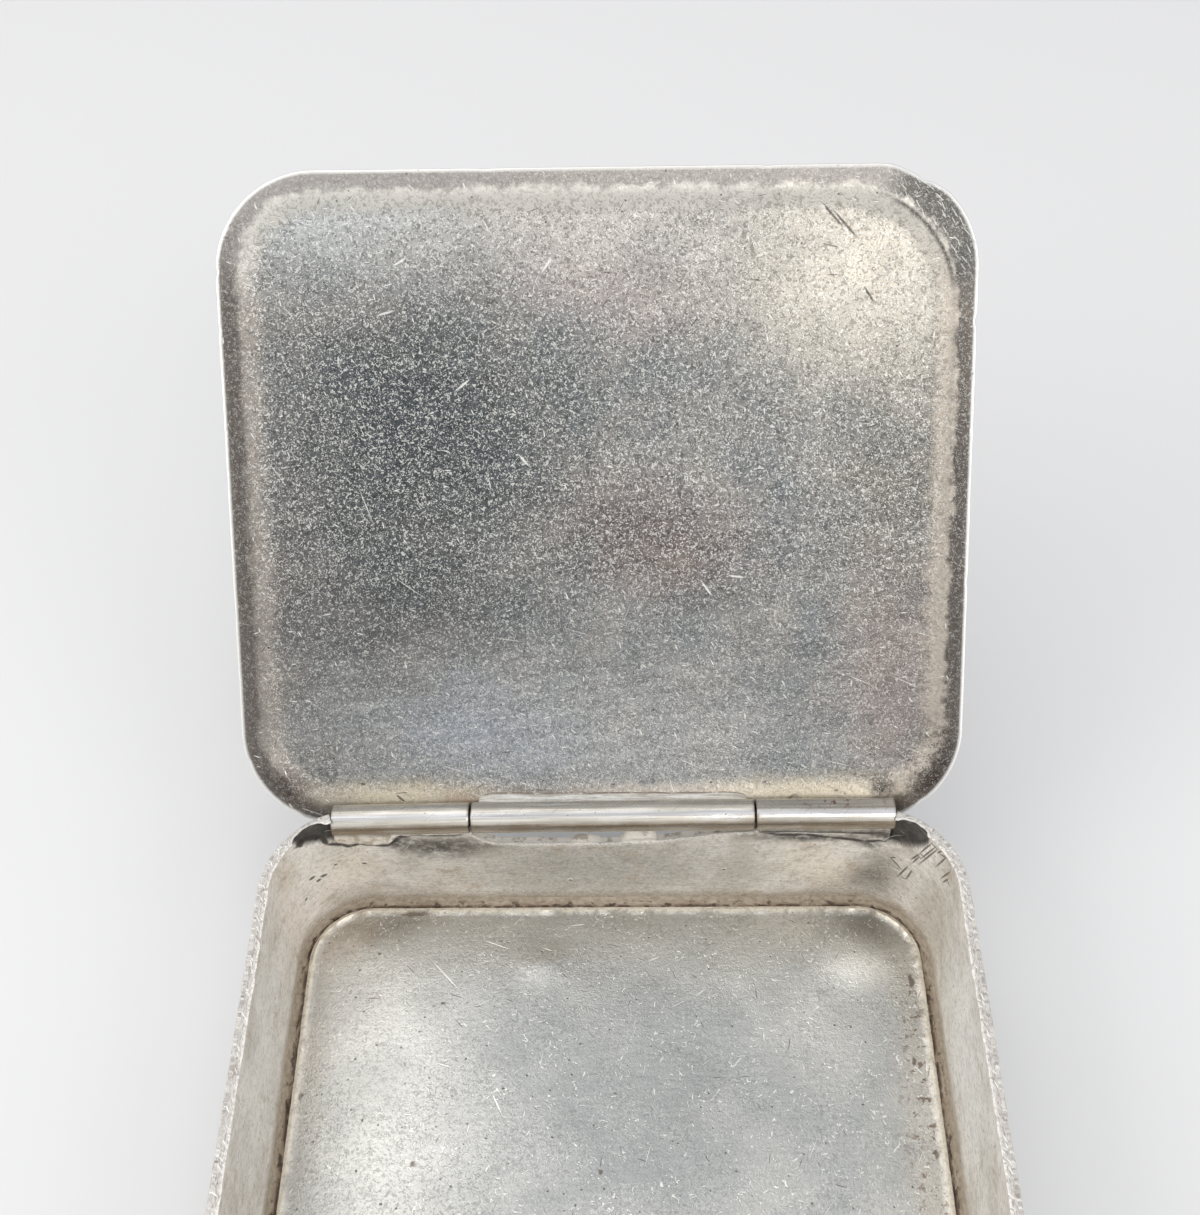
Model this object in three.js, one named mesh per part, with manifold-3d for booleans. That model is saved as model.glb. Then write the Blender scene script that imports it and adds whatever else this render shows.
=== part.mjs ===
// A shallow silver-plated box with rounded corners and a lid hinged along the rear wall.
// Units are millimetres. X runs to the right, +Y runs back to the hinge and +Z is up.
// The origin is the centre of the underside of the body. The lid is drawn as in the photo: fully open.

import * as THREE from 'three';
import { mergeVertices } from 'three/addons/utils/BufferGeometryUtils.js';
import Module from 'manifold-3d';

// Body
const BODY_WIDTH = 80.6;
const BODY_DEPTH = 73.0;
const BODY_HEIGHT = 22.0;
const BODY_CORNER_RADIUS = 10.5;
const WALL_THICKNESS = 1.3;
const FOOT_CHAMFER = 0.35;

// Floor plate and the solder line that holds it in the wall band
const FLOOR_THICKNESS = 1.2;
const FLOOR_GAP = 1.05;
const FLOOR_CORNER_RADIUS = 7.5;
const FLOOR_EDGE_CHAMFER = 0.25;
const SEAM_BELOW_TOP_AT_PLATE = 0.6;
const SEAM_BELOW_TOP_AT_WALL = 0.2;
const SEAM_RECESS = 0.1;

// Hinge
const HINGE_INSET_FROM_SIDE = 7.3;
const OUTER_KNUCKLE_LENGTH = 16.2;
const KNUCKLE_RADIUS = 1.7;
const KNUCKLE_CHAMFER = 0.12;
const KNUCKLE_JOINT = 0.2;
const PIN_RADIUS = 1.05;
const PIN_CLEARANCE = 0.05;
const PIN_RECESS = 1.0;
const PIN_DOME = 0.3;
const AXIS_INSIDE_WALL_FACE = 0.35;

// Cut-out of the rear wall that seats the hinge
const SEAT_CLEARANCE = 0.08;
const SEAT_END_CLEARANCE = 1.1;
const DEEP_CUT_BELOW_SEAT = 2.95;
const DEEP_CUT_SIDE_CLEARANCE = 0.15;
const CUT_CORNER_RADIUS = 1.2;
const CUT_MARGIN = 2.5;

// Lid. Its rear overhang follows from the angle at which the rear edge meets the outside of the wall.
const LID_OPEN_ANGLE = 131;
const LID_STOP_CLEARANCE = 0.05;
const LID_SIDE_OVERHANG = 2.1;
const LID_FRONT_OVERHANG = 1.35;
const LID_SHIFT_X = -1.3;
const LID_CORNER_RADIUS = 11.4;
const LID_THICKNESS = 0.8;
const LID_EDGE_THICKNESS = 0.5;
const LID_EDGE_TAPER = 0.9;
const LID_RIM_CLEARANCE = 0.05;
const LID_BORDER = 2.4;
const LID_BEVEL_WIDTH = 2.2;
const LID_BEVEL_RISE = 0.9;
const LID_DOME_RISE = 1.2;
const LID_FIELD_CORNER_RADIUS = 3.0;

// Solder on the hinge. Angles are about the hinge axis, from +Y towards +Z with the lid shut.
const SOLDER_GAP = 0.05;
const WALL_SOLDER_END_CLEARANCE = 0.2;
const WALL_SOLDER_INNER_MARGIN_LEFT = 1.0;
const WALL_SOLDER_INNER_MARGIN_RIGHT = 0.4;
const WALL_SOLDER_DROP = 2.75;
const WALL_SOLDER_START_ANGLE = 206;
const LID_SOLDER_END_MARGIN = 0.8;
const LID_SOLDER_REACH = 3.0;
const LID_SOLDER_START_ANGLE = 108;
const LID_SOLDER_END_ANGLE = 158;

// Facet counts
const CORNER_STEPS = 10;
const CUT_CORNER_STEPS = 6;
const ROUND_STEPS = 40;
const SOLDER_ARC_STEPS = 5;
const LID_SIDE_STEPS = 8;
const LID_FIELD_STEPS = 7;

// Values that follow from the sizes above
const AXIS_Y = BODY_DEPTH / 2 - AXIS_INSIDE_WALL_FACE;
const AXIS_Z = BODY_HEIGHT - KNUCKLE_RADIUS;
const BORE_RADIUS = PIN_RADIUS + PIN_CLEARANCE;
const HINGE_LENGTH = BODY_WIDTH - 2 * HINGE_INSET_FROM_SIDE;
const CENTRE_KNUCKLE_LENGTH = HINGE_LENGTH - 2 * (OUTER_KNUCKLE_LENGTH + KNUCKLE_JOINT);
const SEAT_Z = AXIS_Z - KNUCKLE_RADIUS - SEAT_CLEARANCE;
const LID_UNDERSIDE = KNUCKLE_RADIUS + LID_RIM_CLEARANCE;
const LID_REAR_OVERHANG = overhangThatStopsAt(THREE.MathUtils.degToRad(LID_OPEN_ANGLE));
const LID_WIDTH = BODY_WIDTH + 2 * LID_SIDE_OVERHANG;
const LID_DEPTH = AXIS_Y + LID_REAR_OVERHANG + BODY_DEPTH / 2 + LID_FRONT_OVERHANG;
const LID_FIELD_INSET = LID_BORDER + LID_BEVEL_WIDTH;

const manifoldModule = await Module();
manifoldModule.setup();

// Materials

const platedWalls = new THREE.MeshStandardMaterial({ color: 0xc8c6c0, metalness: 1.0, roughness: 0.34 });
const platedLid = new THREE.MeshStandardMaterial({ color: 0xb4b6b4, metalness: 1.0, roughness: 0.42 });
const platedFloor = new THREE.MeshStandardMaterial({ color: 0xc2c1bc, metalness: 1.0, roughness: 0.36 });
const hingeTube = new THREE.MeshStandardMaterial({ color: 0xd2cfc8, metalness: 1.0, roughness: 0.22 });
const pinMetal = new THREE.MeshStandardMaterial({ color: 0x8c7a58, metalness: 1.0, roughness: 0.45 });
const solderMetal = new THREE.MeshStandardMaterial({ color: 0x9a968c, metalness: 1.0, roughness: 0.55 });

// Shape helpers

// Points of a rounded rectangle, anticlockwise seen from above, with extra points along the straight sides.
function roundedRectangle(halfWidth, halfDepth, radius, sideSteps = 1) {
  const corners = [
    [halfWidth - radius, halfDepth - radius, 0],
    [-halfWidth + radius, halfDepth - radius, 90],
    [-halfWidth + radius, -halfDepth + radius, 180],
    [halfWidth - radius, -halfDepth + radius, 270],
  ];
  const arcs = corners.map(([cx, cy, startDegrees]) => {
    const arc = [];
    for (let i = 0; i <= CORNER_STEPS; i += 1) {
      const angle = THREE.MathUtils.degToRad(startDegrees + (90 * i) / CORNER_STEPS);
      arc.push([cx + radius * Math.cos(angle), cy + radius * Math.sin(angle)]);
    }
    return arc;
  });
  const points = [];
  arcs.forEach((arc, index) => {
    points.push(...arc);
    const from = arc[arc.length - 1];
    const to = arcs[(index + 1) % arcs.length][0];
    for (let i = 1; i < sideSteps; i += 1) {
      const share = i / sideSteps;
      points.push([from[0] + (to[0] - from[0]) * share, from[1] + (to[1] - from[1]) * share]);
    }
  });
  return points;
}

// Distance from the hinge axis to the rear edge of a lid that meets the rear wall at the given angle.
function overhangThatStopsAt(angle) {
  const wallFace = AXIS_INSIDE_WALL_FACE + LID_STOP_CLEARANCE;
  return (LID_UNDERSIDE * Math.sin(angle) - wallFace) / -Math.cos(angle);
}

function ringAt(points, z) {
  return points.map(([x, y]) => [x, y, z]);
}

// Closed skin over a stack of rings of equal length, from the bottom point to the top point.
function skinOverRings(bottomPoint, rings, topPoint) {
  const count = rings[0].length;
  const positions = [...bottomPoint];
  rings.forEach((ring) => ring.forEach((point) => positions.push(...point)));
  positions.push(...topPoint);
  const at = (ring, i) => 1 + ring * count + (i % count);
  const last = 1 + rings.length * count;
  const index = [];
  for (let i = 0; i < count; i += 1) {
    index.push(0, at(0, i + 1), at(0, i));
    index.push(last, at(rings.length - 1, i), at(rings.length - 1, i + 1));
  }
  for (let ring = 0; ring < rings.length - 1; ring += 1) {
    for (let i = 0; i < count; i += 1) {
      index.push(at(ring, i), at(ring, i + 1), at(ring + 1, i + 1));
      index.push(at(ring, i), at(ring + 1, i + 1), at(ring + 1, i));
    }
  }
  return geometryFrom(positions, index);
}

// Closed skin over rings that form a loop, for a frame-shaped body.
function skinAroundLoop(rings) {
  const count = rings[0].length;
  const positions = [];
  rings.forEach((ring) => ring.forEach((point) => positions.push(...point)));
  const at = (ring, i) => (ring % rings.length) * count + (i % count);
  const index = [];
  for (let ring = 0; ring < rings.length; ring += 1) {
    for (let i = 0; i < count; i += 1) {
      index.push(at(ring, i), at(ring, i + 1), at(ring + 1, i + 1));
      index.push(at(ring, i), at(ring + 1, i + 1), at(ring + 1, i));
    }
  }
  return geometryFrom(positions, index);
}

function geometryFrom(positions, index) {
  const geometry = new THREE.BufferGeometry();
  geometry.setAttribute('position', new THREE.Float32BufferAttribute(positions, 3));
  geometry.setIndex(index);
  return geometry;
}

function withoutExtras(geometry) {
  geometry.deleteAttribute('normal');
  geometry.deleteAttribute('uv');
  return mergeVertices(geometry, 1e-5);
}

function cutAway(target, tool) {
  const [solid, cutter] = [target, tool].map((geometry) => {
    const mesh = new manifoldModule.Mesh({
      numProp: 3,
      vertProperties: new Float32Array(geometry.attributes.position.array),
      triVerts: new Uint32Array(geometry.index.array),
    });
    mesh.merge();
    return new manifoldModule.Manifold(mesh);
  });
  const cut = solid.subtract(cutter).getMesh();
  return geometryFrom(Array.from(cut.vertProperties), Array.from(cut.triVerts));
}

// Straight bar along X with the given outline in the Y and Z directions, measured from the hinge axis.
function barAlongX(outline, startX, length) {
  const shape = new THREE.Shape(outline.map(([y, z]) => new THREE.Vector2(y, z)));
  const geometry = new THREE.ExtrudeGeometry(shape, { depth: length, bevelEnabled: false, steps: 1 });
  const axes = new THREE.Matrix4().makeBasis(
    new THREE.Vector3(0, 1, 0),
    new THREE.Vector3(0, 0, 1),
    new THREE.Vector3(1, 0, 0),
  );
  geometry.applyMatrix4(axes);
  geometry.translate(startX, AXIS_Y, AXIS_Z);
  return withoutExtras(geometry);
}

// Turned body along X on the hinge axis, from a profile of radius and distance from the left end.
function turnedOnAxis(profile, startX) {
  const points = profile.map(([radius, along]) => new THREE.Vector2(radius, along));
  const geometry = new THREE.LatheGeometry(points, ROUND_STEPS);
  geometry.rotateZ(-Math.PI / 2);
  geometry.translate(startX, AXIS_Y, AXIS_Z);
  return withoutExtras(geometry);
}

// Points on a circle about the hinge axis, for solder that follows a knuckle.
function arcAboutAxis(radius, startDegrees, endDegrees) {
  const points = [];
  for (let i = 0; i <= SOLDER_ARC_STEPS; i += 1) {
    const turned = ((endDegrees - startDegrees) * i) / SOLDER_ARC_STEPS;
    const angle = THREE.MathUtils.degToRad(startDegrees + turned);
    points.push([radius * Math.cos(angle), radius * Math.sin(angle)]);
  }
  return points;
}

// Swings a piece that is drawn with the lid shut to the open pose.
function swungOpen(geometry) {
  geometry.translate(0, -AXIS_Y, -AXIS_Z);
  geometry.rotateX(-THREE.MathUtils.degToRad(LID_OPEN_ANGLE));
  geometry.translate(0, AXIS_Y, AXIS_Z);
  return geometry;
}

function namedMesh(name, geometry, material) {
  geometry.computeVertexNormals();
  const mesh = new THREE.Mesh(geometry, material);
  mesh.name = name;
  return mesh;
}

// Body pieces

// Outline of the opening in the rear wall: a long seat for the knuckles with a deeper middle.
function hingeCutOutline() {
  const half = HINGE_LENGTH / 2 + SEAT_END_CLEARANCE;
  const halfDeep = CENTRE_KNUCKLE_LENGTH / 2 + DEEP_CUT_SIDE_CLEARANCE;
  const above = BODY_HEIGHT + CUT_MARGIN;
  const radius = CUT_CORNER_RADIUS;
  const seatCentre = SEAT_Z + radius;
  const deepCentre = SEAT_Z - DEEP_CUT_BELOW_SEAT + radius;
  const shape = new THREE.Shape();
  shape.moveTo(-half, above);
  shape.lineTo(-half, seatCentre);
  shape.absarc(-half + radius, seatCentre, radius, Math.PI, 1.5 * Math.PI, false);
  shape.lineTo(-halfDeep, SEAT_Z);
  shape.lineTo(-halfDeep, deepCentre);
  shape.absarc(-halfDeep + radius, deepCentre, radius, Math.PI, 1.5 * Math.PI, false);
  shape.absarc(halfDeep - radius, deepCentre, radius, 1.5 * Math.PI, 2 * Math.PI, false);
  shape.lineTo(halfDeep, SEAT_Z);
  shape.absarc(half - radius, seatCentre, radius, 1.5 * Math.PI, 2 * Math.PI, false);
  shape.lineTo(half, above);
  shape.closePath();
  return shape;
}

function wallBand() {
  const outer = bodyOutline(0);
  const foot = bodyOutline(FOOT_CHAMFER);
  const inner = bodyOutline(WALL_THICKNESS);
  const band = skinAroundLoop([
    ringAt(inner, 0),
    ringAt(foot, 0),
    ringAt(outer, FOOT_CHAMFER),
    ringAt(outer, BODY_HEIGHT),
    ringAt(inner, BODY_HEIGHT),
  ]);
  const opening = new THREE.ExtrudeGeometry(hingeCutOutline(), {
    depth: WALL_THICKNESS + 2 * CUT_MARGIN,
    bevelEnabled: false,
    steps: 1,
    curveSegments: CUT_CORNER_STEPS,
  });
  opening.rotateX(Math.PI / 2);
  opening.translate(0, BODY_DEPTH / 2 + CUT_MARGIN, 0);
  return cutAway(band, withoutExtras(opening));
}

function bodyOutline(inset) {
  return roundedRectangle(BODY_WIDTH / 2 - inset, BODY_DEPTH / 2 - inset, BODY_CORNER_RADIUS - inset);
}

function floorOutline(inset = 0) {
  const offset = WALL_THICKNESS + FLOOR_GAP + inset;
  return roundedRectangle(BODY_WIDTH / 2 - offset, BODY_DEPTH / 2 - offset, FLOOR_CORNER_RADIUS - inset);
}

function floorPlate() {
  return skinOverRings(
    [0, 0, 0],
    [
      ringAt(floorOutline(), 0),
      ringAt(floorOutline(), FLOOR_THICKNESS - FLOOR_EDGE_CHAMFER),
      ringAt(floorOutline(FLOOR_EDGE_CHAMFER), FLOOR_THICKNESS),
    ],
    [0, 0, FLOOR_THICKNESS],
  );
}

// The solder fills the gap around the plate and stays below its top, which leaves a groove.
function floorSeam() {
  const plateEdge = floorOutline();
  const wallFace = bodyOutline(WALL_THICKNESS);
  return skinAroundLoop([
    ringAt(plateEdge, SEAM_RECESS),
    ringAt(wallFace, SEAM_RECESS),
    ringAt(wallFace, FLOOR_THICKNESS - SEAM_BELOW_TOP_AT_WALL),
    ringAt(plateEdge, FLOOR_THICKNESS - SEAM_BELOW_TOP_AT_PLATE),
  ]);
}

// Hinge pieces

function knuckle(startX, length) {
  const far = length - KNUCKLE_CHAMFER;
  const crest = KNUCKLE_RADIUS - KNUCKLE_CHAMFER;
  const profile = [
    [BORE_RADIUS, 0],
    [crest, 0],
    [KNUCKLE_RADIUS, KNUCKLE_CHAMFER],
    [KNUCKLE_RADIUS, far],
    [crest, length],
    [BORE_RADIUS, length],
    [BORE_RADIUS, 0],
  ];
  return turnedOnAxis(profile, startX);
}

function hingePin() {
  const length = HINGE_LENGTH - 2 * PIN_RECESS;
  const shoulder = PIN_RADIUS - PIN_DOME;
  const profile = [
    [0, 0],
    [shoulder, 0],
    [PIN_RADIUS, PIN_DOME],
    [PIN_RADIUS, length - PIN_DOME],
    [shoulder, length],
    [0, length],
  ];
  return turnedOnAxis(profile, -length / 2);
}

// Solder under an outer knuckle: it follows the tube above and stands on the inner face of the wall.
// It runs along the straight part of the rear wall. The side is -1 for left and 1 for right.
function wallSolder(side, innerMargin) {
  const outerEnd = BODY_WIDTH / 2 - BODY_CORNER_RADIUS - WALL_SOLDER_END_CLEARANCE;
  const innerEnd = CENTRE_KNUCKLE_LENGTH / 2 + KNUCKLE_JOINT + innerMargin;
  const length = outerEnd - innerEnd;
  const wallFace = AXIS_INSIDE_WALL_FACE - WALL_THICKNESS;
  const followRadius = KNUCKLE_RADIUS + SOLDER_GAP;
  const wallAngle = 180 + THREE.MathUtils.radToDeg(Math.acos(-wallFace / followRadius));
  const outline = [
    ...arcAboutAxis(followRadius, WALL_SOLDER_START_ANGLE, wallAngle),
    [wallFace, -WALL_SOLDER_DROP],
  ];
  return barAlongX(outline, side < 0 ? -outerEnd : innerEnd, length);
}

// Solder between the centre knuckle and the underside of the lid, drawn with the lid shut.
function lidSolder() {
  const length = CENTRE_KNUCKLE_LENGTH - 2 * LID_SOLDER_END_MARGIN;
  const bevelStart = LID_REAR_OVERHANG - LID_BORDER;
  const slope = LID_BEVEL_RISE / LID_BEVEL_WIDTH;
  const reachHeight = LID_UNDERSIDE + (LID_SOLDER_REACH + bevelStart) * slope;
  const followRadius = KNUCKLE_RADIUS + SOLDER_GAP;
  const outline = [
    ...arcAboutAxis(followRadius, LID_SOLDER_START_ANGLE, LID_SOLDER_END_ANGLE),
    [-LID_SOLDER_REACH, reachHeight],
    [bevelStart, LID_UNDERSIDE],
  ];
  return barAlongX(outline, -length / 2, length);
}

// Lid pieces

// Height of the underside above the flat border, at a place given from the centre of the lid.
function lidRise(x, y, inset) {
  const bevelShare = THREE.MathUtils.clamp((inset - LID_BORDER) / LID_BEVEL_WIDTH, 0, 1);
  const across = x / (LID_WIDTH / 2 - LID_FIELD_INSET);
  const along = y / (LID_DEPTH / 2 - LID_FIELD_INSET);
  const dome = Math.max(0, 1 - across ** 2) * Math.max(0, 1 - along ** 2);
  return LID_BEVEL_RISE * bevelShare + LID_DOME_RISE * dome;
}

function lidRing(inset, lift) {
  const radius = Math.max(LID_CORNER_RADIUS - inset, LID_FIELD_CORNER_RADIUS);
  const outline = roundedRectangle(LID_WIDTH / 2 - inset, LID_DEPTH / 2 - inset, radius, LID_SIDE_STEPS);
  return outline.map(([x, y]) => [x, y, lidRise(x, y, inset) + lift]);
}

function lidPlate() {
  const reach = Math.min(LID_WIDTH, LID_DEPTH) / 2 - LID_FIELD_INSET;
  const insets = [LID_BORDER, LID_FIELD_INSET];
  for (let i = 1; i < LID_FIELD_STEPS; i += 1) {
    insets.push(LID_FIELD_INSET + (reach * i) / LID_FIELD_STEPS);
  }
  const underside = [0, ...insets].map((inset) => lidRing(inset, 0)).reverse();
  const edge = lidRing(0, LID_EDGE_THICKNESS);
  const top = [LID_EDGE_TAPER, ...insets].map((inset) => lidRing(inset, LID_THICKNESS));
  const centre = LID_BEVEL_RISE + LID_DOME_RISE;
  const rings = [...underside, edge, ...top];
  const geometry = skinOverRings([0, 0, centre], rings, [0, 0, centre + LID_THICKNESS]);
  const centreY = AXIS_Y + LID_REAR_OVERHANG - LID_DEPTH / 2;
  geometry.translate(LID_SHIFT_X, centreY, AXIS_Z + LID_UNDERSIDE);
  return geometry;
}

// Assembly

const root = new THREE.Group();
root.name = 'silver_plated_box';

const hingeStart = -HINGE_LENGTH / 2;
const rightStart = HINGE_LENGTH / 2 - OUTER_KNUCKLE_LENGTH;
const centreKnuckle = knuckle(-CENTRE_KNUCKLE_LENGTH / 2, CENTRE_KNUCKLE_LENGTH);

root.add(
  namedMesh('wall_band', wallBand(), platedWalls),
  namedMesh('floor_plate', floorPlate(), platedFloor),
  namedMesh('floor_solder_seam', floorSeam(), solderMetal),
  namedMesh('hinge_knuckle_left', knuckle(hingeStart, OUTER_KNUCKLE_LENGTH), hingeTube),
  namedMesh('hinge_knuckle_right', knuckle(rightStart, OUTER_KNUCKLE_LENGTH), hingeTube),
  namedMesh('hinge_pin', hingePin(), pinMetal),
  namedMesh('wall_solder_left', wallSolder(-1, WALL_SOLDER_INNER_MARGIN_LEFT), solderMetal),
  namedMesh('wall_solder_right', wallSolder(1, WALL_SOLDER_INNER_MARGIN_RIGHT), solderMetal),
  namedMesh('lid_plate', swungOpen(lidPlate()), platedLid),
  namedMesh('hinge_knuckle_centre', swungOpen(centreKnuckle), hingeTube),
  namedMesh('lid_solder_strip', swungOpen(lidSolder()), solderMetal),
);

export default root;
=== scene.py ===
import math

import bmesh
import bpy
import numpy as np
from mathutils import Matrix, Vector


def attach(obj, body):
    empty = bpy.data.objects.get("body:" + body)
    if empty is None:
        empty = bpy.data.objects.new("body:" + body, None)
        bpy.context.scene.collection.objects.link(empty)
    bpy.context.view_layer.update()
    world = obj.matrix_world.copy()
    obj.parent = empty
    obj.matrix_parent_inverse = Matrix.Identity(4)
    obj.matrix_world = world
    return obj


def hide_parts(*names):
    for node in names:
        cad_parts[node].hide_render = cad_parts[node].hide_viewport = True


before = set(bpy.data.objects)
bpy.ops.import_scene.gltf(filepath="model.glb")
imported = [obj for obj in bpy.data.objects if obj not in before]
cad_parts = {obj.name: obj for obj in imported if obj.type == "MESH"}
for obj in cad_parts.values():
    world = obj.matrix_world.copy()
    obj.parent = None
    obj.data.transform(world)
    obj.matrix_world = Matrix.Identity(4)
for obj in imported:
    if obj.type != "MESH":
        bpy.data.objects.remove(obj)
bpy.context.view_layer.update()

# All shapes are worked out in millimetres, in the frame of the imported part, and written in metres.
MM = 0.001

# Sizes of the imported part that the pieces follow
BODY_HALF_WIDTH = 40.3
BODY_HALF_DEPTH = 36.5
BODY_HEIGHT = 22.0
BODY_CORNER_RADIUS = 10.5
WALL_THICKNESS = 1.3
FOOT_CHAMFER = 0.35
FLOOR_THICKNESS = 1.2
FLOOR_GAP = 1.05
FLOOR_CORNER_RADIUS = 7.5
AXIS_Y = 36.15
AXIS_Z = 20.3
KNUCKLE_RADIUS = 1.7
HINGE_HALF_LENGTH = 33.0
JOINT_X = 16.6
OUTER_JOINT_X = 16.8
PIN_RECESS = 1.0
PIN_RADIUS = 1.05
PIN_THIN_RADIUS = 0.8
BORE_RADIUS = 1.1
LID_HALF_WIDTH = 42.4
LID_HALF_DEPTH = 37.7017
LID_CENTRE = (-1.3, -0.1483)
LID_CORNER_RADIUS = 11.4
LID_UNDERSIDE = 1.75
LID_THICKNESS = 0.8
LID_EDGE_THICKNESS = 0.54
LID_BORDER = 2.4
LID_BEVEL_WIDTH = 2.2
LID_BEVEL_RISE = 0.9
LID_DOME_RISE = 1.2
LID_REAR_BEND = 0.35
LID_OPEN_ANGLE = math.radians(131)

WALL_SEED = 11
FLOOR_SEED = 23
LID_SEED = 37
HINGE_SEED = 41
SOLDER_SEED = 53

# Noise and small maths

LATTICE = 256


def lattice_noise(x, y, seed):
    """Smooth random heights from -1 to 1 over a plane, one bump or so to a unit."""
    table = np.random.default_rng(seed).uniform(-1, 1, (LATTICE, LATTICE))
    cell_x, cell_y = np.floor(x).astype(int), np.floor(y).astype(int)
    tx, ty = x - cell_x, y - cell_y
    tx, ty = tx * tx * (3 - 2 * tx), ty * ty * (3 - 2 * ty)

    def level(j):
        left, right = (table[(cell_x + i) % LATTICE, (cell_y + j) % LATTICE] for i in (0, 1))
        return left * (1 - tx) + right * tx

    return level(0) * (1 - ty) + level(1) * ty


def rough(x, y, size, seed, octaves=3):
    """Layers of lattice noise: the largest bumps are `size` across."""
    total, share = 0.0, 1.0
    for i in range(octaves):
        total = total + share * lattice_noise(x / size + 17.3 * i, y / size - 9.1 * i, seed + i)
        size, share = size / 2, share / 2
    return total


def smooth_step(low, high, x):
    t = np.clip((x - low) / (high - low), 0, 1)
    return t * t * (3 - 2 * t)


def hill(x, y, cx, cy, rx, ry=None):
    """A soft round hill of height 1."""
    ry = rx if ry is None else ry
    return np.exp(-(((x - cx) / rx) ** 2 + ((y - cy) / ry) ** 2))


def bumps(x, y, places):
    """The sum of soft hills: place, one or two radii, height."""
    return sum(height * hill(x, y, *place) for *place, height in places)


def paired(a, b):
    """Two coordinates as one array of points."""
    return np.stack(np.broadcast_arrays(a, b), -1)


def run_along(points):
    """Distance along a closed outline, from its first point on and round to that point again."""
    steps = np.linalg.norm(np.roll(points, -1, 0) - points, axis=1)
    return np.concatenate([[0], np.cumsum(steps)])


def outward(x, y, half_x, half_y, radius):
    """The way out of a rounded rectangle at a point, in X and Y."""
    out_x = x - np.clip(x, radius - half_x, half_x - radius)
    out_y = y - np.clip(y, radius - half_y, half_y - radius)
    size = np.maximum(np.hypot(out_x, out_y), 1e-6)
    return out_x / size, out_y / size


def srgb(red, green, blue):
    """The colour that shows as these 0 to 255 values."""
    def linear(v):
        v = v / 255
        return v / 12.92 if v <= 0.04045 else ((v + 0.055) / 1.055) ** 2.4
    return (linear(red), linear(green), linear(blue), 1.0)


# Mesh building

WELD = 1e-6


def add_object(name, data):
    made = bpy.data.objects.new(name, data)
    bpy.context.scene.collection.objects.link(made)
    return made


class Shape:
    """Gathers grids of points into one closed mesh.
    Each face corner has a place on the unrolled surface, in millimetres, for the materials."""

    def __init__(self):
        self.points, self.faces, self.flats, self.slots, self.zones = [], [], [], [], {}
        self.count = 0

    def grid(self, points, flat, wrap_rows=False, wrap_cols=False, slot=0, flip=False, **zones):
        """points is rows x cols x 3. flat is the same, with one more row or column where that side wraps.
        A zone is a value at each point, which the materials read by its name."""
        rows, cols = points.shape[:2]
        row_count = rows if wrap_rows else rows - 1
        col_count = cols if wrap_cols else cols - 1
        r, c = np.meshgrid(np.arange(row_count), np.arange(col_count), indexing="ij")
        around = [(r, c), (r, c + 1), (r + 1, c + 1), (r + 1, c)]
        if flip:
            around.reverse()
        ids = [self.count + (i % rows) * cols + (j % cols) for i, j in around]
        self.faces.append(np.stack(ids, -1).reshape(-1, 4))
        self.flats.append(np.stack([flat[i, j] for i, j in around], 2).reshape(-1, 2))
        self.slots.append(np.full(row_count * col_count, slot))
        self.points.append(points.reshape(-1, 3))
        for name, values in zones.items():
            values = np.broadcast_to(values, (rows, cols)).ravel()
            self.zones.setdefault(name, []).append((self.count, values))
        self.count += rows * cols

    def caps(self, points, **zones):
        """Closes both ends of a rod that was added as a grid."""
        flat = paired(np.linspace(0, 6, points.shape[1] + 1), [[0.0], [0.6]])
        for end in points[[0, -1]]:
            middle = np.broadcast_to(end.mean(0), end.shape)
            self.grid(np.stack([end, middle]), flat, wrap_cols=True, **zones)

    def build(self, name, *materials, sharp_degrees=60):
        mesh = bpy.data.meshes.new(name)
        points = np.concatenate(self.points) * MM
        mesh.from_pydata(points.tolist(), [], np.concatenate(self.faces).tolist())
        place = mesh.attributes.new("surface_mm", "FLOAT_VECTOR", "CORNER")
        flat = np.pad(np.concatenate(self.flats), ((0, 0), (0, 1)))
        place.data.foreach_set("vector", flat.astype(np.float32).ravel())
        for zone, parts in self.zones.items():
            values = np.zeros(len(points), np.float32)
            for start, part in parts:
                values[start:start + len(part)] = part
            mesh.attributes.new(zone, "FLOAT", "POINT").data.foreach_set("value", values)
        mesh.polygons.foreach_set("material_index", np.concatenate(self.slots).astype(np.int32))
        for material in materials:
            mesh.materials.append(material)
        worked = bmesh.new()
        worked.from_mesh(mesh)
        bmesh.ops.remove_doubles(worked, verts=worked.verts, dist=WELD)
        bmesh.ops.dissolve_degenerate(worked, edges=worked.edges, dist=WELD / 10)
        bmesh.ops.recalc_face_normals(worked, faces=worked.faces)
        worked.to_mesh(mesh)
        worked.free()
        mesh.shade_smooth()
        mesh.set_sharp_from_angle(angle=math.radians(sharp_degrees))
        return add_object(name, mesh)


def stands_for(piece, body, slot, *nodes):
    """The piece rides on the body and hides the nodes. slot is not used."""
    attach(piece, body)
    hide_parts(*nodes)
    return piece


def swung_open(points):
    """From the shut lid to the open lid: a turn about the hinge axis."""
    y, z = points[..., 1] - AXIS_Y, points[..., 2] - AXIS_Z
    c, s = math.cos(LID_OPEN_ANGLE), math.sin(LID_OPEN_ANGLE)
    return np.stack([points[..., 0], y * c + z * s + AXIS_Y, z * c - y * s + AXIS_Z], -1)


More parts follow.
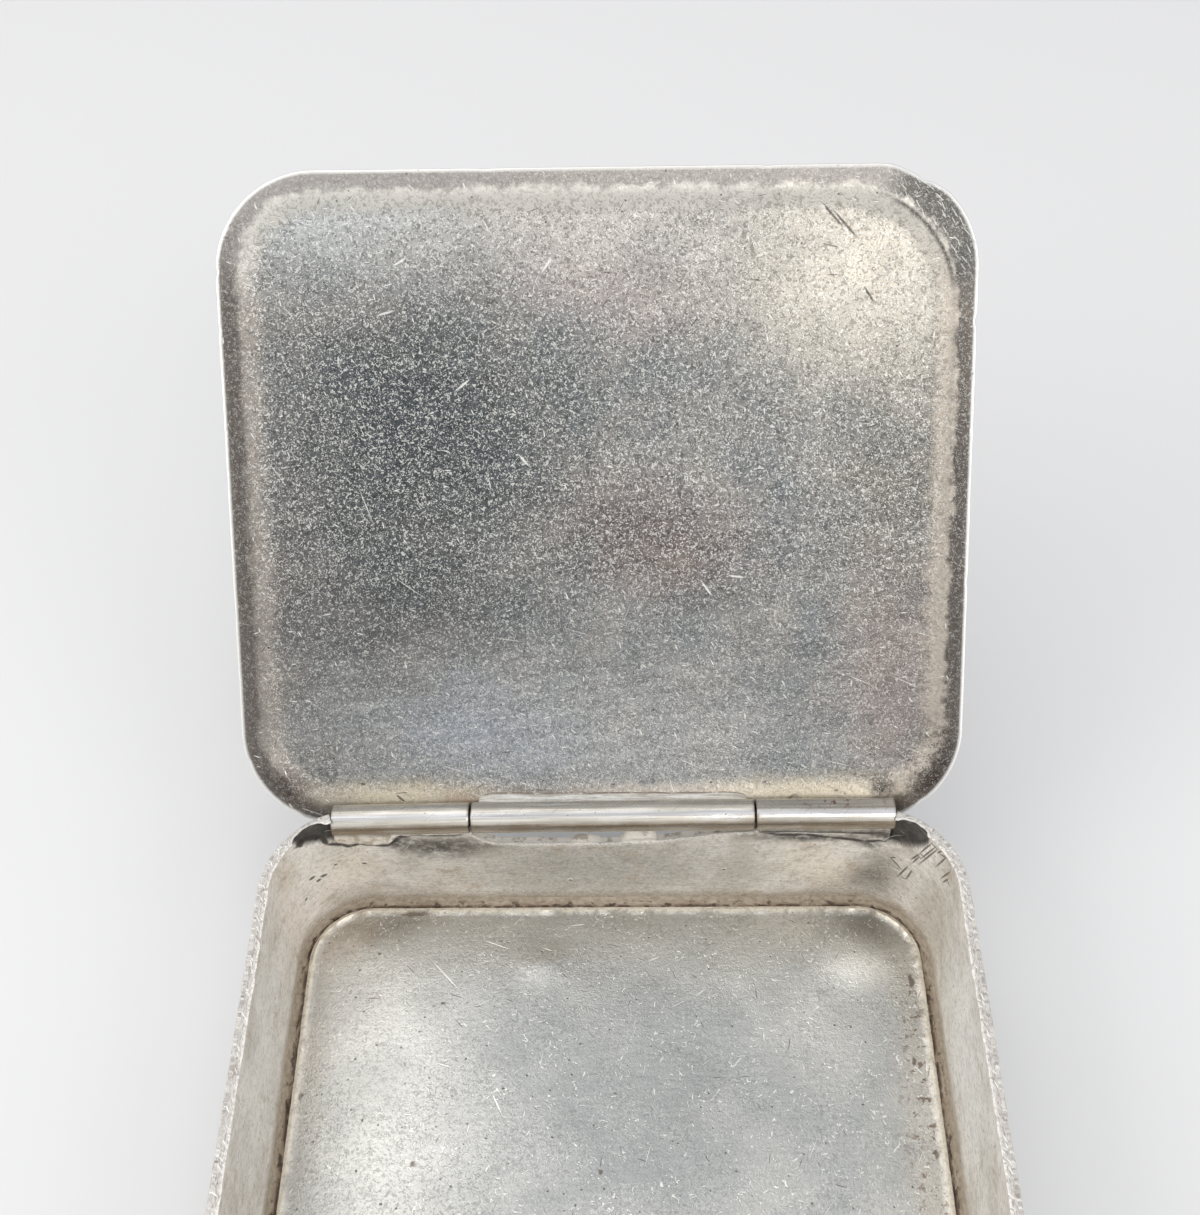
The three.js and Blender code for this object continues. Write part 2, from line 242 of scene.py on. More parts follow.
def rounded_grid(half_x, half_y, radius, step):
    """A grid of points that fills a rounded rectangle in rings, and each point's distance from the outline."""
    nx, ny = 2 * round(half_x / step), 2 * round(half_y / step)
    gx, gy = np.meshgrid(np.linspace(-half_x, half_x, nx + 1), np.linspace(-half_y, half_y, ny + 1), indexing="ij")
    in_x, in_y = half_x - abs(gx), half_y - abs(gy)
    inset = np.minimum(in_x, in_y)
    ring_x, ring_y = np.maximum(half_x - inset, 1e-9), np.maximum(half_y - inset, 1e-9)
    bend = np.maximum(radius - inset, 0)

    def along(g, ring, other):
        straight = ring - bend
        run = abs(g) / ring * (straight + bend * math.pi / 4)
        angle = np.where(bend > 1e-9, np.maximum(run - straight, 0) / np.maximum(bend, 1e-9), 0)
        on_side = np.where(run <= straight, run, straight + bend * np.sin(angle))
        across = other - bend + bend * np.cos(angle)
        return np.sign(g) * on_side, across

    top_x, top_y = along(gx, ring_x, ring_y)
    side_y, side_x = along(gy, ring_y, ring_x)
    on_top = in_y <= in_x
    x = np.where(on_top, top_x, np.sign(gx) * side_x)
    y = np.where(on_top, np.sign(gy) * top_y, side_y)
    return x, y, inset


def border_of(grid):
    """The outline points of a grid, once around."""
    return np.concatenate([grid[:-1, 0], grid[-1, :-1], grid[:0:-1, -1], grid[0, :0:-1]])


# The wall band

REAR_STEP = 0.26
SIDE_STEP = 0.3
FRONT_STEP = 0.6
SIDE_VISIBLE_FROM_Y = -6.0
INNER_ROWS = 54
OUTER_ROWS = 24
CORE_X = BODY_HALF_WIDTH - BODY_CORNER_RADIUS
CORE_Y = BODY_HALF_DEPTH - BODY_CORNER_RADIUS
TONGUE_ANGLE = math.radians(19.0)
TONGUE_HALF_LENGTH = CORE_X + BODY_CORNER_RADIUS * math.sin(TONGUE_ANGLE)
SEAT_Z = 18.5
SLOT_HALF_LENGTH = 16.75
# Half the width of a step in the rim: an angle at the ends of the tongue, a length at the ends of the slot
TONGUE_STEP = 0.0005
SLOT_STEP = 0.005
RIM_INNER_ROUND = 0.16
RIM_OUTER_ROUND = 0.3
RIM_CROWN = 0.03
# Height of the filed edge under the centre knuckle, from left to right
SLOT_X = [-16.75, -15.9, -15.1, -14.0, -10.9, -1.6, 1.9, 6.2, 9.0, 11.8, 14.3, 16.75]
SLOT_Z = [17.9, 17.0, 16.3, 15.8, 15.67, 15.57, 15.82, 16.35, 16.95, 17.6, 18.0, 18.2]
SLOT_FALL = 0.42
# Burrs left on its outer edge: centre, half width, height, and how flat the top is
SLOT_BURRS = [(-3.3, 1.7, 0.85, 0.6), (3.2, 2.1, 1.4, 0.3), (-14.6, 0.8, 0.4, 0.6), (-8.6, 0.5, 0.15, 0.6)]
# Scoops in the rear corners: side, angle in degrees, height, half length, half width, slope in degrees, depth
HOLLOWS = [(1, 62.0, 19.5, 3.6, 2.5, 46.0, 0.98), (-1, 60.0, 20.4, 4.2, 1.8, 39.0, 0.9)]
# Nicks in the rim: x, y, radius, depth
RIM_NICKS = [(-39.84, 18.9, 0.35, 0.35), (-39.3, 12.3, 0.3, 0.25), (39.1, 8.1, 0.4, 0.3), (39.5, 6.9, 0.35, 0.25),
             (40.05, 4.4, 0.5, 0.2), (-40.0, 3.0, 0.4, 0.2), (39.2, -12.0, 0.5, 0.25), (12.0, -36.0, 0.5, 0.25),
             (-21.0, -35.9, 0.4, 0.2)]
# Dents in the outer face: distance along the wall, height, radius, depth
OUTER_DENTS = [(12.0, 9.0, 4.0, 0.12), (58.0, 14.0, 5.0, 0.15), (92.0, 7.0, 3.5, 0.1), (128.0, 9.0, 4.5, 0.12),
               (152.0, 8.0, 3.5, 0.1), (203.0, 12.0, 5.5, 0.16), (236.0, 6.0, 3.5, 0.1), (270.0, 13.0, 4.5, 0.12)]


def band_sections():
    """Points around the outside of the body, anticlockwise from the middle of the front: x, y, inward x,
    inward y. Then the distance along it."""
    sections = []

    def line(x0, y0, x1, y1, nx, ny, step):
        count = max(1, round(math.dist((x0, y0), (x1, y1)) / step))
        for i in range(count):
            t = i / count
            sections.append((x0 + (x1 - x0) * t, y0 + (y1 - y0) * t, nx, ny))

    def bend(cx, cy, start, step, tongue=None):
        count = max(1, round(BODY_CORNER_RADIUS * math.pi / 2 / step))
        angles = [start + math.pi / 2 * i / count for i in range(count)]
        if tongue is not None:
            angles = sorted({*angles, tongue - TONGUE_STEP, tongue + TONGUE_STEP})
        for a in angles:
            c, s = math.cos(a), math.sin(a)
            sections.append((cx + BODY_CORNER_RADIUS * c, cy + BODY_CORNER_RADIUS * s, -c, -s))

    half_x, half_y, rear = BODY_HALF_WIDTH, BODY_HALF_DEPTH, math.pi / 2
    line(0, -half_y, CORE_X, -half_y, 0, 1, FRONT_STEP)
    bend(CORE_X, -CORE_Y, -rear, FRONT_STEP)
    line(half_x, -CORE_Y, half_x, SIDE_VISIBLE_FROM_Y, -1, 0, FRONT_STEP)
    line(half_x, SIDE_VISIBLE_FROM_Y, half_x, CORE_Y, -1, 0, SIDE_STEP)
    bend(CORE_X, CORE_Y, 0, REAR_STEP, rear - TONGUE_ANGLE)
    slot_ends = [side * SLOT_HALF_LENGTH + step for side in (1, -1) for step in (SLOT_STEP, -SLOT_STEP)]
    stops = [CORE_X, *slot_ends, -CORE_X]
    for x0, x1 in zip(stops, stops[1:]):
        line(x0, half_y, x1, half_y, 0, -1, REAR_STEP)
    bend(-CORE_X, CORE_Y, rear, REAR_STEP, rear + TONGUE_ANGLE)
    line(-half_x, CORE_Y, -half_x, SIDE_VISIBLE_FROM_Y, 1, 0, SIDE_STEP)
    line(-half_x, SIDE_VISIBLE_FROM_Y, -half_x, -CORE_Y, 1, 0, FRONT_STEP)
    bend(-CORE_X, -CORE_Y, math.pi, FRONT_STEP)
    line(-CORE_X, -half_y, 0, -half_y, 0, 1, FRONT_STEP)
    sections = np.array(sections)
    return sections, run_along(sections[:, :2])


def band_heights(x, y, s):
    """Height of the rim at its inner and outer edge for each section, and whether the section is in the tubes'
    seat and in the slot."""
    inner = BODY_HEIGHT - 0.02 + np.minimum(0.05 * (rough(s, 0.0, 9.0, WALL_SEED) - 1.3), 0)
    outer = inner.copy()
    seat = (y > 0) & (abs(x) < TONGUE_HALF_LENGTH)
    inner[seat] = SEAT_Z + 0.06 * rough(s[seat], 0.0, 0.9, WALL_SEED + 5)
    outer[seat] = inner[seat]
    cut = seat & (abs(x) < SLOT_HALF_LENGTH)
    ragged = 0.09 * rough(s[cut], 0.0, 1.4, WALL_SEED + 6) + 0.05 * rough(s[cut], 0.0, 0.5, WALL_SEED + 7)
    inner[cut] = np.interp(x[cut], SLOT_X, SLOT_Z) + 0.4 * ragged
    burr = sum(h * np.clip(1 - ((x[cut] - cx) / w) ** 2, 0, 1) ** flat for cx, w, h, flat in SLOT_BURRS)
    outer[cut] = inner[cut] - SLOT_FALL + np.maximum(ragged, -0.05) + burr
    outer[cut] = np.minimum(outer[cut], SEAT_Z - 0.15)
    return inner, outer, seat.astype(float), cut.astype(float)


def scoops(x, y, z):
    """Depth of the oval scoops in the inner face of the rear corners, which slope down to the hinge tube."""
    total = 0.0
    for side, degrees, height, half_length, half_width, slope, depth in HOLLOWS:
        dx, dy = side * x - CORE_X, y - CORE_Y
        arc = (np.arctan2(dy, dx) - math.radians(degrees)) * (BODY_CORNER_RADIUS - WALL_THICKNESS)
        c, s = math.cos(math.radians(slope)), math.sin(math.radians(slope))
        along = (arc * c - (z - height) * s) / half_length
        across = (arc * s + (z - height) * c) / half_width
        oval = depth * np.sqrt(np.clip(1 - along ** 2 - across ** 2, 0, 1))
        total = total + np.where((dx > -2) & (dy > 0), oval, 0)
    return total


def wall_band():
    sections, along = band_sections()
    x, y, in_x, in_y = sections.T[..., None]
    s = along[:-1, None]
    inner_top, outer_top, seat, cut = band_heights(x, y, s)
    rows = []

    def row(inset, z, place, rim=0.0, burr=0.0, inside=0.0):
        """A line around the band. place is how far it is along the unrolled profile."""
        rows.append([np.broadcast_to(value, s.shape)[:, 0] for value in (inset, z, place, rim, burr, inside)])

    # Inner face, from the foot up
    for t in np.linspace(0, 1, INNER_ROWS):
        z = t * (inner_top - RIM_INNER_ROUND)
        push = 0.05 * rough(s, z, 7.0, WALL_SEED + 1) + 0.012 * rough(s * 0.3, z * 3, 1.2, WALL_SEED + 2)
        row(WALL_THICKNESS + push - scoops(x, y, z), z, z, 0, smooth_step(0.97, 1, t), 1)
    # Inner edge of the rim, with a small ragged burr that leans inward
    teeth = np.maximum(rough(s, 0.0, 0.75, WALL_SEED + 3, 2), -0.3)
    lean = (0.05 + 0.09 * teeth) * (1 - seat) + 0.03 * seat
    wall = WALL_THICKNESS - scoops(x, y, inner_top)
    row(wall + lean, inner_top - 0.1, inner_top - 0.1, 0.2, 1, 0.6)
    row(wall + lean * 0.8, inner_top - 0.02, inner_top, 0.5, 1, 0.3)
    row(wall - 0.1, inner_top, inner_top + 0.1, 1, 0.6)
    # Top of the rim, filed a little round
    for t in (0.25, 0.45, 0.65, 0.82):
        inset = (wall - 0.1) * (1 - t) + np.minimum(RIM_OUTER_ROUND, wall - 0.15) * t
        filed = 0.02 * rough(s + inset * 1.5, inset * 2, 0.8, WALL_SEED + 4)
        crown = RIM_CROWN * (math.sin(math.pi * t) - 1)
        height = inner_top * (1 - t ** 0.7) + outer_top * t ** 0.7 + filed + crown
        height = np.minimum(height, np.maximum(inner_top, outer_top))
        row(inset, height, BODY_HEIGHT + t * WALL_THICKNESS, 1)
    edge = np.minimum(RIM_OUTER_ROUND, wall - 0.2)
    over = BODY_HEIGHT + WALL_THICKNESS
    row(edge, outer_top, over - RIM_OUTER_ROUND, 1)
    row(edge * 0.29, outer_top - RIM_OUTER_ROUND * 0.29, over - 0.1, 0.8, 0.2)
    row(0.0, outer_top - RIM_OUTER_ROUND, over + 0.1, 0.2, 0.1)
    # Outer face, from the rim down
    for t in np.linspace(0, 1, OUTER_ROWS)[1:]:
        z = (outer_top - RIM_OUTER_ROUND) * (1 - t) + FOOT_CHAMFER * t
        push = 0.03 * (1 + rough(s, z, 8.0, WALL_SEED + 8)) + bumps(s, z, OUTER_DENTS)
        row(push * smooth_step(0, 2.0, z - FOOT_CHAMFER), z, BODY_HEIGHT + over - z)
    row(FOOT_CHAMFER, 0.0, BODY_HEIGHT + over)

    insets, heights, places, rim, burr, inside = np.array(rows).transpose(1, 2, 0)
    px, py = x + in_x * insets, y + in_y * insets
    for nx, ny, radius, depth in RIM_NICKS:
        heights = heights - depth * hill(px, py, nx, ny, radius) * smooth_step(20.8, 21.9, heights)
    profile = np.concatenate([places, np.full(s.shape, 2 * BODY_HEIGHT + 3)], 1)
    profile = np.concatenate([profile, profile[:1]])
    # Dark in the scoops, from tarnish and painted shade, and a little dark on the end faces of the tongues, which
    # is painted shade
    dark = np.clip(scoops(x, y, heights) * inside / 0.5, 0, 1)
    at_tongue = np.exp(-((abs(x) - TONGUE_HALF_LENGTH) / 0.14) ** 2) * (y > 0)
    dark = np.maximum(dark, 0.3 * at_tongue * (heights > SEAT_Z - 1))
    shape = Shape()
    shape.grid(np.stack([px, py, heights], -1), paired(along[:, None], profile), True, True,
               rim=rim, burr=burr, inside=inside, hollow=dark, cut=cut)
    return shape.build("wall_band_worn", wall_metal(), sharp_degrees=50)


# Floor plate and its solder seam

FLOOR_STEP = 0.4
PLATE_HALF_X = BODY_HALF_WIDTH - WALL_THICKNESS - FLOOR_GAP
PLATE_HALF_Y = BODY_HALF_DEPTH - WALL_THICKNESS - FLOOR_GAP
PLATE_EDGE = 0.14
PLATE_PITS = 90
RIDGE_INSET = 0.35
RIDGE_WIDTH = 0.33
# Dents: x, y, half sizes, height
FLOOR_DENTS = [(-8.6, 26.3, 3.0, 2.4, 0.28), (12.0, 14.0, 6.0, 5.0, -0.2), (-20.0, -8.0, 7.0, 6.0, 0.18),
               (24.0, -14.0, 6.0, 7.0, -0.16), (-3.0, -24.0, 8.0, 5.0, 0.18), (29.0, 27.0, 4.0, 3.0, 0.15),
               (-31.0, 24.0, 4.0, 5.0, -0.14)]
SEAM_FILL = 0.98
SEAM_RISE = 0.95
SEAM_SIDE_STEPS = 150
SEAM_CORNER_STEPS = 40
# Rows of points from the wall (0) to the plate (1)
SEAM_ROWS = [-0.12, 0.0, 0.08, 0.18, 0.3, 0.45, 0.6, 0.75, 0.88, 1.0, 1.1]


def floor_plate():
    half_x, half_y, radius = PLATE_HALF_X, PLATE_HALF_Y, FLOOR_CORNER_RADIUS
    x, y, inset = rounded_grid(half_x - PLATE_EDGE, half_y - PLATE_EDGE, radius - PLATE_EDGE, FLOOR_STEP)
    middle = smooth_step(0.4, 4.0, inset)
    z = FLOOR_THICKNESS + (0.05 * rough(x, y, 9.0, FLOOR_SEED) + bumps(x, y, FLOOR_DENTS)) * middle
    pits = np.random.default_rng(FLOOR_SEED + 1)
    for _ in range(PLATE_PITS):
        cx, cy = pits.uniform(-35, 35), pits.uniform(-31, 31)
        height = pits.choice([-1, 1]) * pits.uniform(0.02, 0.05)
        z = z + height * hill(x, y, cx, cy, pits.uniform(0.35, 0.7))
    # The crumbly ridge along the edge, highest in the rear corners
    corner = smooth_step(0, 4.0, abs(x) - half_x + radius + 2) * smooth_step(0, 4.0, abs(y) - half_y + radius + 2)
    corner = corner * np.where(y > 0, 1, 0.3)
    ridge = np.exp(-((inset - RIDGE_INSET) / RIDGE_WIDTH) ** 2)
    crumbly = np.maximum(0.65 + 0.7 * rough(x, y, 0.8, FLOOR_SEED + 3, 2), 0)
    z = z + (0.22 + 0.26 * corner) * ridge * crumbly
    z = np.clip(z, FLOOR_THICKNESS - 0.25, FLOOR_THICKNESS + 0.45)
    under = 0.02 * (1 + rough(x, y, 9.0, FLOOR_SEED + 5)) * middle
    top, low = np.stack([x, y, z], -1), np.stack([x, y, under], -1)
    bead = (0.85 + 0.15 * corner) * ridge * smooth_step(0, 0.5, crumbly)
    shape = Shape()
    shape.grid(top, paired(x, y), edge=np.exp(-(inset / RIDGE_INSET) ** 2), bead=bead)
    shape.grid(low, paired(x, y) + 100, flip=True, edge=0, bead=0)

    top, low = border_of(top), border_of(low)
    near, rim = top[:, :2], top[:, 2]
    out = paired(*outward(near[:, 0], near[:, 1], half_x, half_y, radius))
    run = run_along(near)
    chips = np.minimum(0.05 * rough(run[:-1], 0.0, 0.8, FLOOR_SEED + 4, 2), 0.0)

    def ring(push, height):
        push, height = np.broadcast_to(push, rim.shape), np.broadcast_to(height, rim.shape)
        return np.column_stack([near + out * push[:, None], height])

    chipped = PLATE_EDGE + chips
    side = np.stack([top, ring(0.75 * chipped, rim - 0.04), ring(chipped, rim - 0.16), ring(chipped, 0.8),
                     ring(chipped, 0.4), ring(PLATE_EDGE, 0.06), low])
    drops = np.array([[0], [0.1], [0.25], [0.5], [0.9], [1.3], [1.4]])
    shape.grid(side, paired(run, drops + 60), wrap_cols=True, edge=[[1], [1], [0.8], [0], [0], [0], [0]], bead=0)
    return shape.build("floor_plate_worn", floor_metal())


def seam_outline(half_x, half_y, radius):
    """Points around a rounded rectangle, the same number on every side and in every corner."""
    corners = []
    for quarter, (side_x, side_y) in enumerate([(1, 1), (-1, 1), (-1, -1), (1, -1)]):
        angle = math.pi / 2 * (quarter + np.linspace(0, 1, SEAM_CORNER_STEPS + 1))
        centre = [side_x * (half_x - radius), side_y * (half_y - radius)]
        corners.append(centre + radius * paired(np.cos(angle), np.sin(angle)))
    t = np.linspace(0, 1, SEAM_SIDE_STEPS + 1)[1:-1, None]
    parts = []
    for corner, after in zip(corners, corners[1:] + corners[:1]):
        parts += [corner, corner[-1] + (after[0] - corner[-1]) * t]
    return np.concatenate(parts)


def floor_seam():
    wall = seam_outline(BODY_HALF_WIDTH - WALL_THICKNESS, BODY_HALF_DEPTH - WALL_THICKNESS,
                        BODY_CORNER_RADIUS - WALL_THICKNESS)
    plate = seam_outline(PLATE_HALF_X, PLATE_HALF_Y, FLOOR_CORNER_RADIUS)
    run = run_along(wall)
    s = run[:-1]
    w = np.array(SEAM_ROWS)[:, None]
    share = np.clip(w, 0, 1)
    lumps = 0.12 * rough(s, w * 2, 0.8, SOLDER_SEED + 8) * (0.15 + share) * (w < 1.05)
    z = np.concatenate([SEAM_FILL + SEAM_RISE * (1 - share) ** 2.2 + lumps, np.full((2, len(s)), 0.1)])
    across = np.array([*SEAM_ROWS, SEAM_ROWS[-1], SEAM_ROWS[0]])[:, None, None]
    points = np.concatenate([wall + (plate - wall) * across, z[..., None]], 2)
    flat = paired(run, np.concatenate([2.5 - 2.5 * share, [[-1.0], [-2.0], [-3.0]]]))
    shape = Shape()
    shape.grid(points, flat, True, True, dirt=np.concatenate([share, [[0.8], [0.8]]]))
    return shape.build("floor_seam_rough", seam_metal())


# The lid

LID_STEP = 0.4
LID_EDGE = 0.12
# Nicks in the lid's edge: x, y from the lid's centre, half width, depth
EDGE_NICKS = [(-42.4, -26.9, 0.35, 0.3), (-42.4, -20.5, 0.3, 0.12), (-41.9, 30.0, 0.4, 0.16),
              (42.4, -20.6, 0.5, 0.25), (42.4, 9.0, 0.4, 0.14), (-12.0, -37.7, 0.4, 0.1), (19.0, -37.7, 0.5, 0.12),
              (37.9, 35.2, 0.5, 0.2), (-36.5, 36.2, 0.5, 0.2), (36.0, -35.9, 0.35, 0.3)]
WIDE_CORNER_RADIUS = 15.0
FILED_NORMAL = (0.4285, -0.9034)
FILED_REACH = 11.0
FILED_SOFTNESS = 0.12
# Dents: x, y, half sizes, height
LID_DENTS = [(12.0, -8.0, 7.0, 5.0, 0.16), (-18.0, 6.0, 8.0, 6.0, -0.14), (-27.0, -22.0, 6.0, 5.0, 0.12),
             (24.0, 16.0, 7.0, 5.0, -0.12), (29.0, -28.0, 4.0, 5.0, 0.14), (2.0, 22.0, 9.0, 4.0, 0.1)]
# Gouges: x, y, half length, half width, direction in degrees, depth
LID_MARKS = [(27.7, -31.2, 1.5, 0.22, 48, 0.09), (30.5, -23.6, 0.9, 0.2, 55, 0.08),
             (-23.95, 34.0, 0.6, 0.3, 20, 0.06), (-26.2, -25.2, 0.3, 0.3, 0, 0.08),
             (8.0, -9.0, 0.9, 0.16, 62, 0.05), (-9.0, 9.0, 0.8, 0.16, 40, 0.05)]
STREAK_CENTRE = (-4.0, 60.0)
# Rows of points round the edge: share of LID_EDGE, height above the underside
EDGE_ROWS = [(0.7, 0.04), (1.0, 0.14), (1.0, 0.36), (0.7, 0.47)]


def bevel_inset(x, y, inset):
    """Distance from the outline as the bevel sees it: at the filed corner the flat border is wider."""
    out_x = np.maximum(x - LID_HALF_WIDTH + WIDE_CORNER_RADIUS, 0)
    out_y = np.maximum(-y - LID_HALF_DEPTH + WIDE_CORNER_RADIUS, 0)
    wide = (out_x > 0) & (out_y > 0)
    return np.where(wide, np.minimum(inset, WIDE_CORNER_RADIUS - np.hypot(out_x, out_y)), inset)


def lid_rise(x, y, inset):
    """Height of the underside above the flat border."""
    bevel = smooth_step(LID_BORDER - 0.25, LID_BORDER + LID_BEVEL_WIDTH + 0.45, inset)
    in_x = LID_HALF_WIDTH - LID_BORDER - LID_BEVEL_WIDTH
    in_y = LID_HALF_DEPTH - LID_BORDER - LID_BEVEL_WIDTH
    dome = np.maximum(0, 1 - (x / in_x) ** 2) * np.maximum(0, 1 - (y / in_y) ** 2)
    at_hinge = smooth_step(5.2, 2.8, LID_HALF_DEPTH - y) * smooth_step(36.5, 33.6, abs(x))
    return LID_BEVEL_RISE * bevel + LID_DOME_RISE * dome + LID_REAR_BEND * at_hinge * (1 - 0.6 * bevel)


def filed_corner(x, y, inset):
    """Flattens the corner that was filed off, and cuts the nicks into the edge."""
    dx, dy = x - LID_HALF_WIDTH + LID_CORNER_RADIUS, y + LID_HALF_DEPTH - LID_CORNER_RADIUS
    away = np.maximum(np.hypot(dx, dy), 1e-6)
    reach = LID_CORNER_RADIUS * (dx * FILED_NORMAL[0] + dy * FILED_NORMAL[1]) / away
    reach = np.where((dx > -1) & (dy < 1), reach, 0)
    excess = FILED_SOFTNESS * np.log1p(np.exp((reach - FILED_REACH) / FILED_SOFTNESS))
    excess = excess * smooth_step(3.0, 0.0, inset)
    x, y = x - FILED_NORMAL[0] * excess, y - FILED_NORMAL[1] * excess
    nicks = sum(depth * hill(x, y, nx, ny, width * 1.4) for nx, ny, width, depth in EDGE_NICKS)
    pull = np.clip(0.03 * rough(x, y, 2.0, LID_SEED + 8, 2) + nicks, 0, 0.4) * smooth_step(0.9, 0.0, inset)
    out_x, out_y = outward(x, y, LID_HALF_WIDTH, LID_HALF_DEPTH, LID_CORNER_RADIUS)
    return x - out_x * pull, y - out_y * pull


def lid_plate():
    half_x, half_y, radius = LID_HALF_WIDTH, LID_HALF_DEPTH, LID_CORNER_RADIUS
    x0, y0, inset = rounded_grid(half_x - LID_EDGE, half_y - LID_EDGE, radius - LID_EDGE, LID_STEP)
    inset = inset + LID_EDGE
    x, y = filed_corner(x0, y0, inset)
    wide_inset = bevel_inset(x0, y0, inset)
    # Hand-worked unevenness of the sheet, the same on both faces
    relief = (0.06 * rough(x, y, 8.0, LID_SEED) + bumps(x, y, LID_DENTS)) * smooth_step(0.5, 5.0, inset)
    sheet = lid_rise(x, y, wide_inset) + relief
    under = sheet
    for cx, cy, length, width, degrees, depth in LID_MARKS:
        c, s = math.cos(math.radians(degrees)), math.sin(math.radians(degrees))
        u, v = (x - cx) * c + (y - cy) * s, (y - cy) * c - (x - cx) * s
        under = under + depth * hill(u, v, 0, 0, length, width)
    dx, dy = x - STREAK_CENTRE[0], STREAK_CENTRE[1] - y
    streaks = lattice_noise(np.hypot(dx, dy) / 1.1, np.arctan2(dx, dy) * 6, LID_SEED + 9)
    under = under + 0.012 * streaks * smooth_step(4.5, 9, inset)
    over = sheet + LID_EDGE_THICKNESS + (LID_THICKNESS - LID_EDGE_THICKNESS) * smooth_step(0.0, 0.9, inset)

    def place(gx, gy, gz):
        return swung_open(np.stack([gx, gy, gz], -1) + [*LID_CENTRE, AXIS_Z + LID_UNDERSIDE])

    flat = paired(x0, y0)
    zones = {"edge": np.exp(-((inset - LID_EDGE) / 0.22) ** 2), "inset": wide_inset}
    shape = Shape()
    shape.grid(place(x, y, under), flat, **zones)
    shape.grid(place(x, y, over), flat + [0, 200], slot=1, flip=True, **zones)
    bx, by, low, high = (border_of(grid) for grid in (x, y, under, over))
    ox, oy = outward(bx, by, half_x, half_y, radius)
    rows = [(0, low), *((LID_EDGE * share, low + height) for share, height in EDGE_ROWS), (0, high)]
    side = np.stack([place(bx + ox * push, by + oy * push, z) for push, z in rows])
    flat = paired(run_along(paired(bx, by)), np.linspace(0, 0.7, len(rows))[:, None] + 80)
    shape.grid(side, flat, wrap_cols=True, edge=1, inset=0)
    return shape.build("lid_worn", lid_metal("lid_inside", True), lid_metal("lid_outside", False))


# Hinge tubes and solder

TUBE_AROUND = 72
TUBE_STEP = 0.22
TUBE_RADIUS = 1.82
TUBE_BEVEL = 0.14
TUBE_WEAR = 0.02
TUBE_MOUTH = 1.3
FACET_DEGREES = 78
FACET_REACH = 1.66
PIN_AROUND = 28
# The tubes don't lie quite on one line: how far they are off the axis, towards the open lid, at places along it
DRIFT_X = [-33.0, -16.7, 0.0, 16.6, 33.0]
DRIFT_REACH = [-0.25, 0.0, 0.1, 0.22, 0.25]
# Dents in the left tube: x, angle in degrees, half length, half width, depth
LEFT_DENTS = [(-31.2, 208, 0.7, 0.5, 0.05), (-29.8, 196, 0.6, 0.5, 0.04), (-28.4, 205, 0.7, 0.45, 0.05),
              (-26.6, 214, 0.8, 0.5, 0.05), (-25.6, 196, 0.5, 0.4, 0.04), (-30.4, 160, 1.2, 0.5, 0.03)]


def drift(x):
    """How far the tubes' line is off the axis at x, in Y and in Z."""
    reach = np.interp(x, DRIFT_X, DRIFT_REACH)
    return np.array([-math.cos(LID_OPEN_ANGLE) * reach, math.sin(LID_OPEN_ANGLE) * reach])


def around_axis(x, radius, angle, off):
    """Points around the hinge axis, moved off it in Y and Z."""
    y, z = AXIS_Y + off[0] + radius * np.cos(angle), AXIS_Z + off[1] + radius * np.sin(angle)
    return np.stack(np.broadcast_arrays(x, y, z), -1)


def tube(name, x0, x1, seed, dents=(), facet=False):
    """A drawn tube with worn ends, an open bore and small dents.
    Angles are about the hinge axis, from +Y towards +Z, with the lid open."""
    length = x1 - x0
    count = round(length / TUBE_STEP)
    ends = [(0.0, BORE_RADIUS), (0.0, TUBE_RADIUS - 0.14), (0.04, TUBE_RADIUS - 0.04), (TUBE_BEVEL, TUBE_RADIUS)]
    straight = length - 2 * TUBE_BEVEL
    profile = ends + [(TUBE_BEVEL + straight * i / count, TUBE_RADIUS) for i in range(1, count)]
    profile += [(length - a, r) for a, r in ends[::-1]]
    profile += [(a, BORE_RADIUS) for a in (length - TUBE_MOUTH, length / 2, TUBE_MOUTH)]
    along, radius = np.array(profile).T[..., None]
    along = along + x0
    angle = np.linspace(0, 2 * math.pi, TUBE_AROUND, endpoint=False)

    def turned(degrees):
        return (angle - math.radians(degrees) + math.pi) % (2 * math.pi) - math.pi

    outside = radius > TUBE_RADIUS - 0.15
    loss = TUBE_WEAR * np.clip(rough(along, angle * 2.5, 3.0, seed), 0, 1)
    for dx, degrees, dl, dw, depth in dents:
        loss = loss + depth * hill(along, turned(degrees) * TUBE_RADIUS, dx, 0, dl, dw)
    radius = radius - np.where(outside, loss, 0)
    if facet:
        flat_r = FACET_REACH / np.maximum(np.cos(turned(FACET_DEGREES)), 0.3)
        radius = np.where(outside, np.minimum(radius, flat_r), radius)
    steps = np.concatenate([along, along[:1] - 40])
    flat = paired(steps, np.append(angle, 2 * math.pi) * TUBE_RADIUS)
    from_end = np.minimum(along - x0, x1 - along)
    shape = Shape()
    shape.grid(around_axis(along, radius, angle, drift(along)), flat, True, True,
               tube_end=np.exp(-(from_end / 0.12) ** 2))
    return shape.build(name, tube_metal(), sharp_degrees=42)


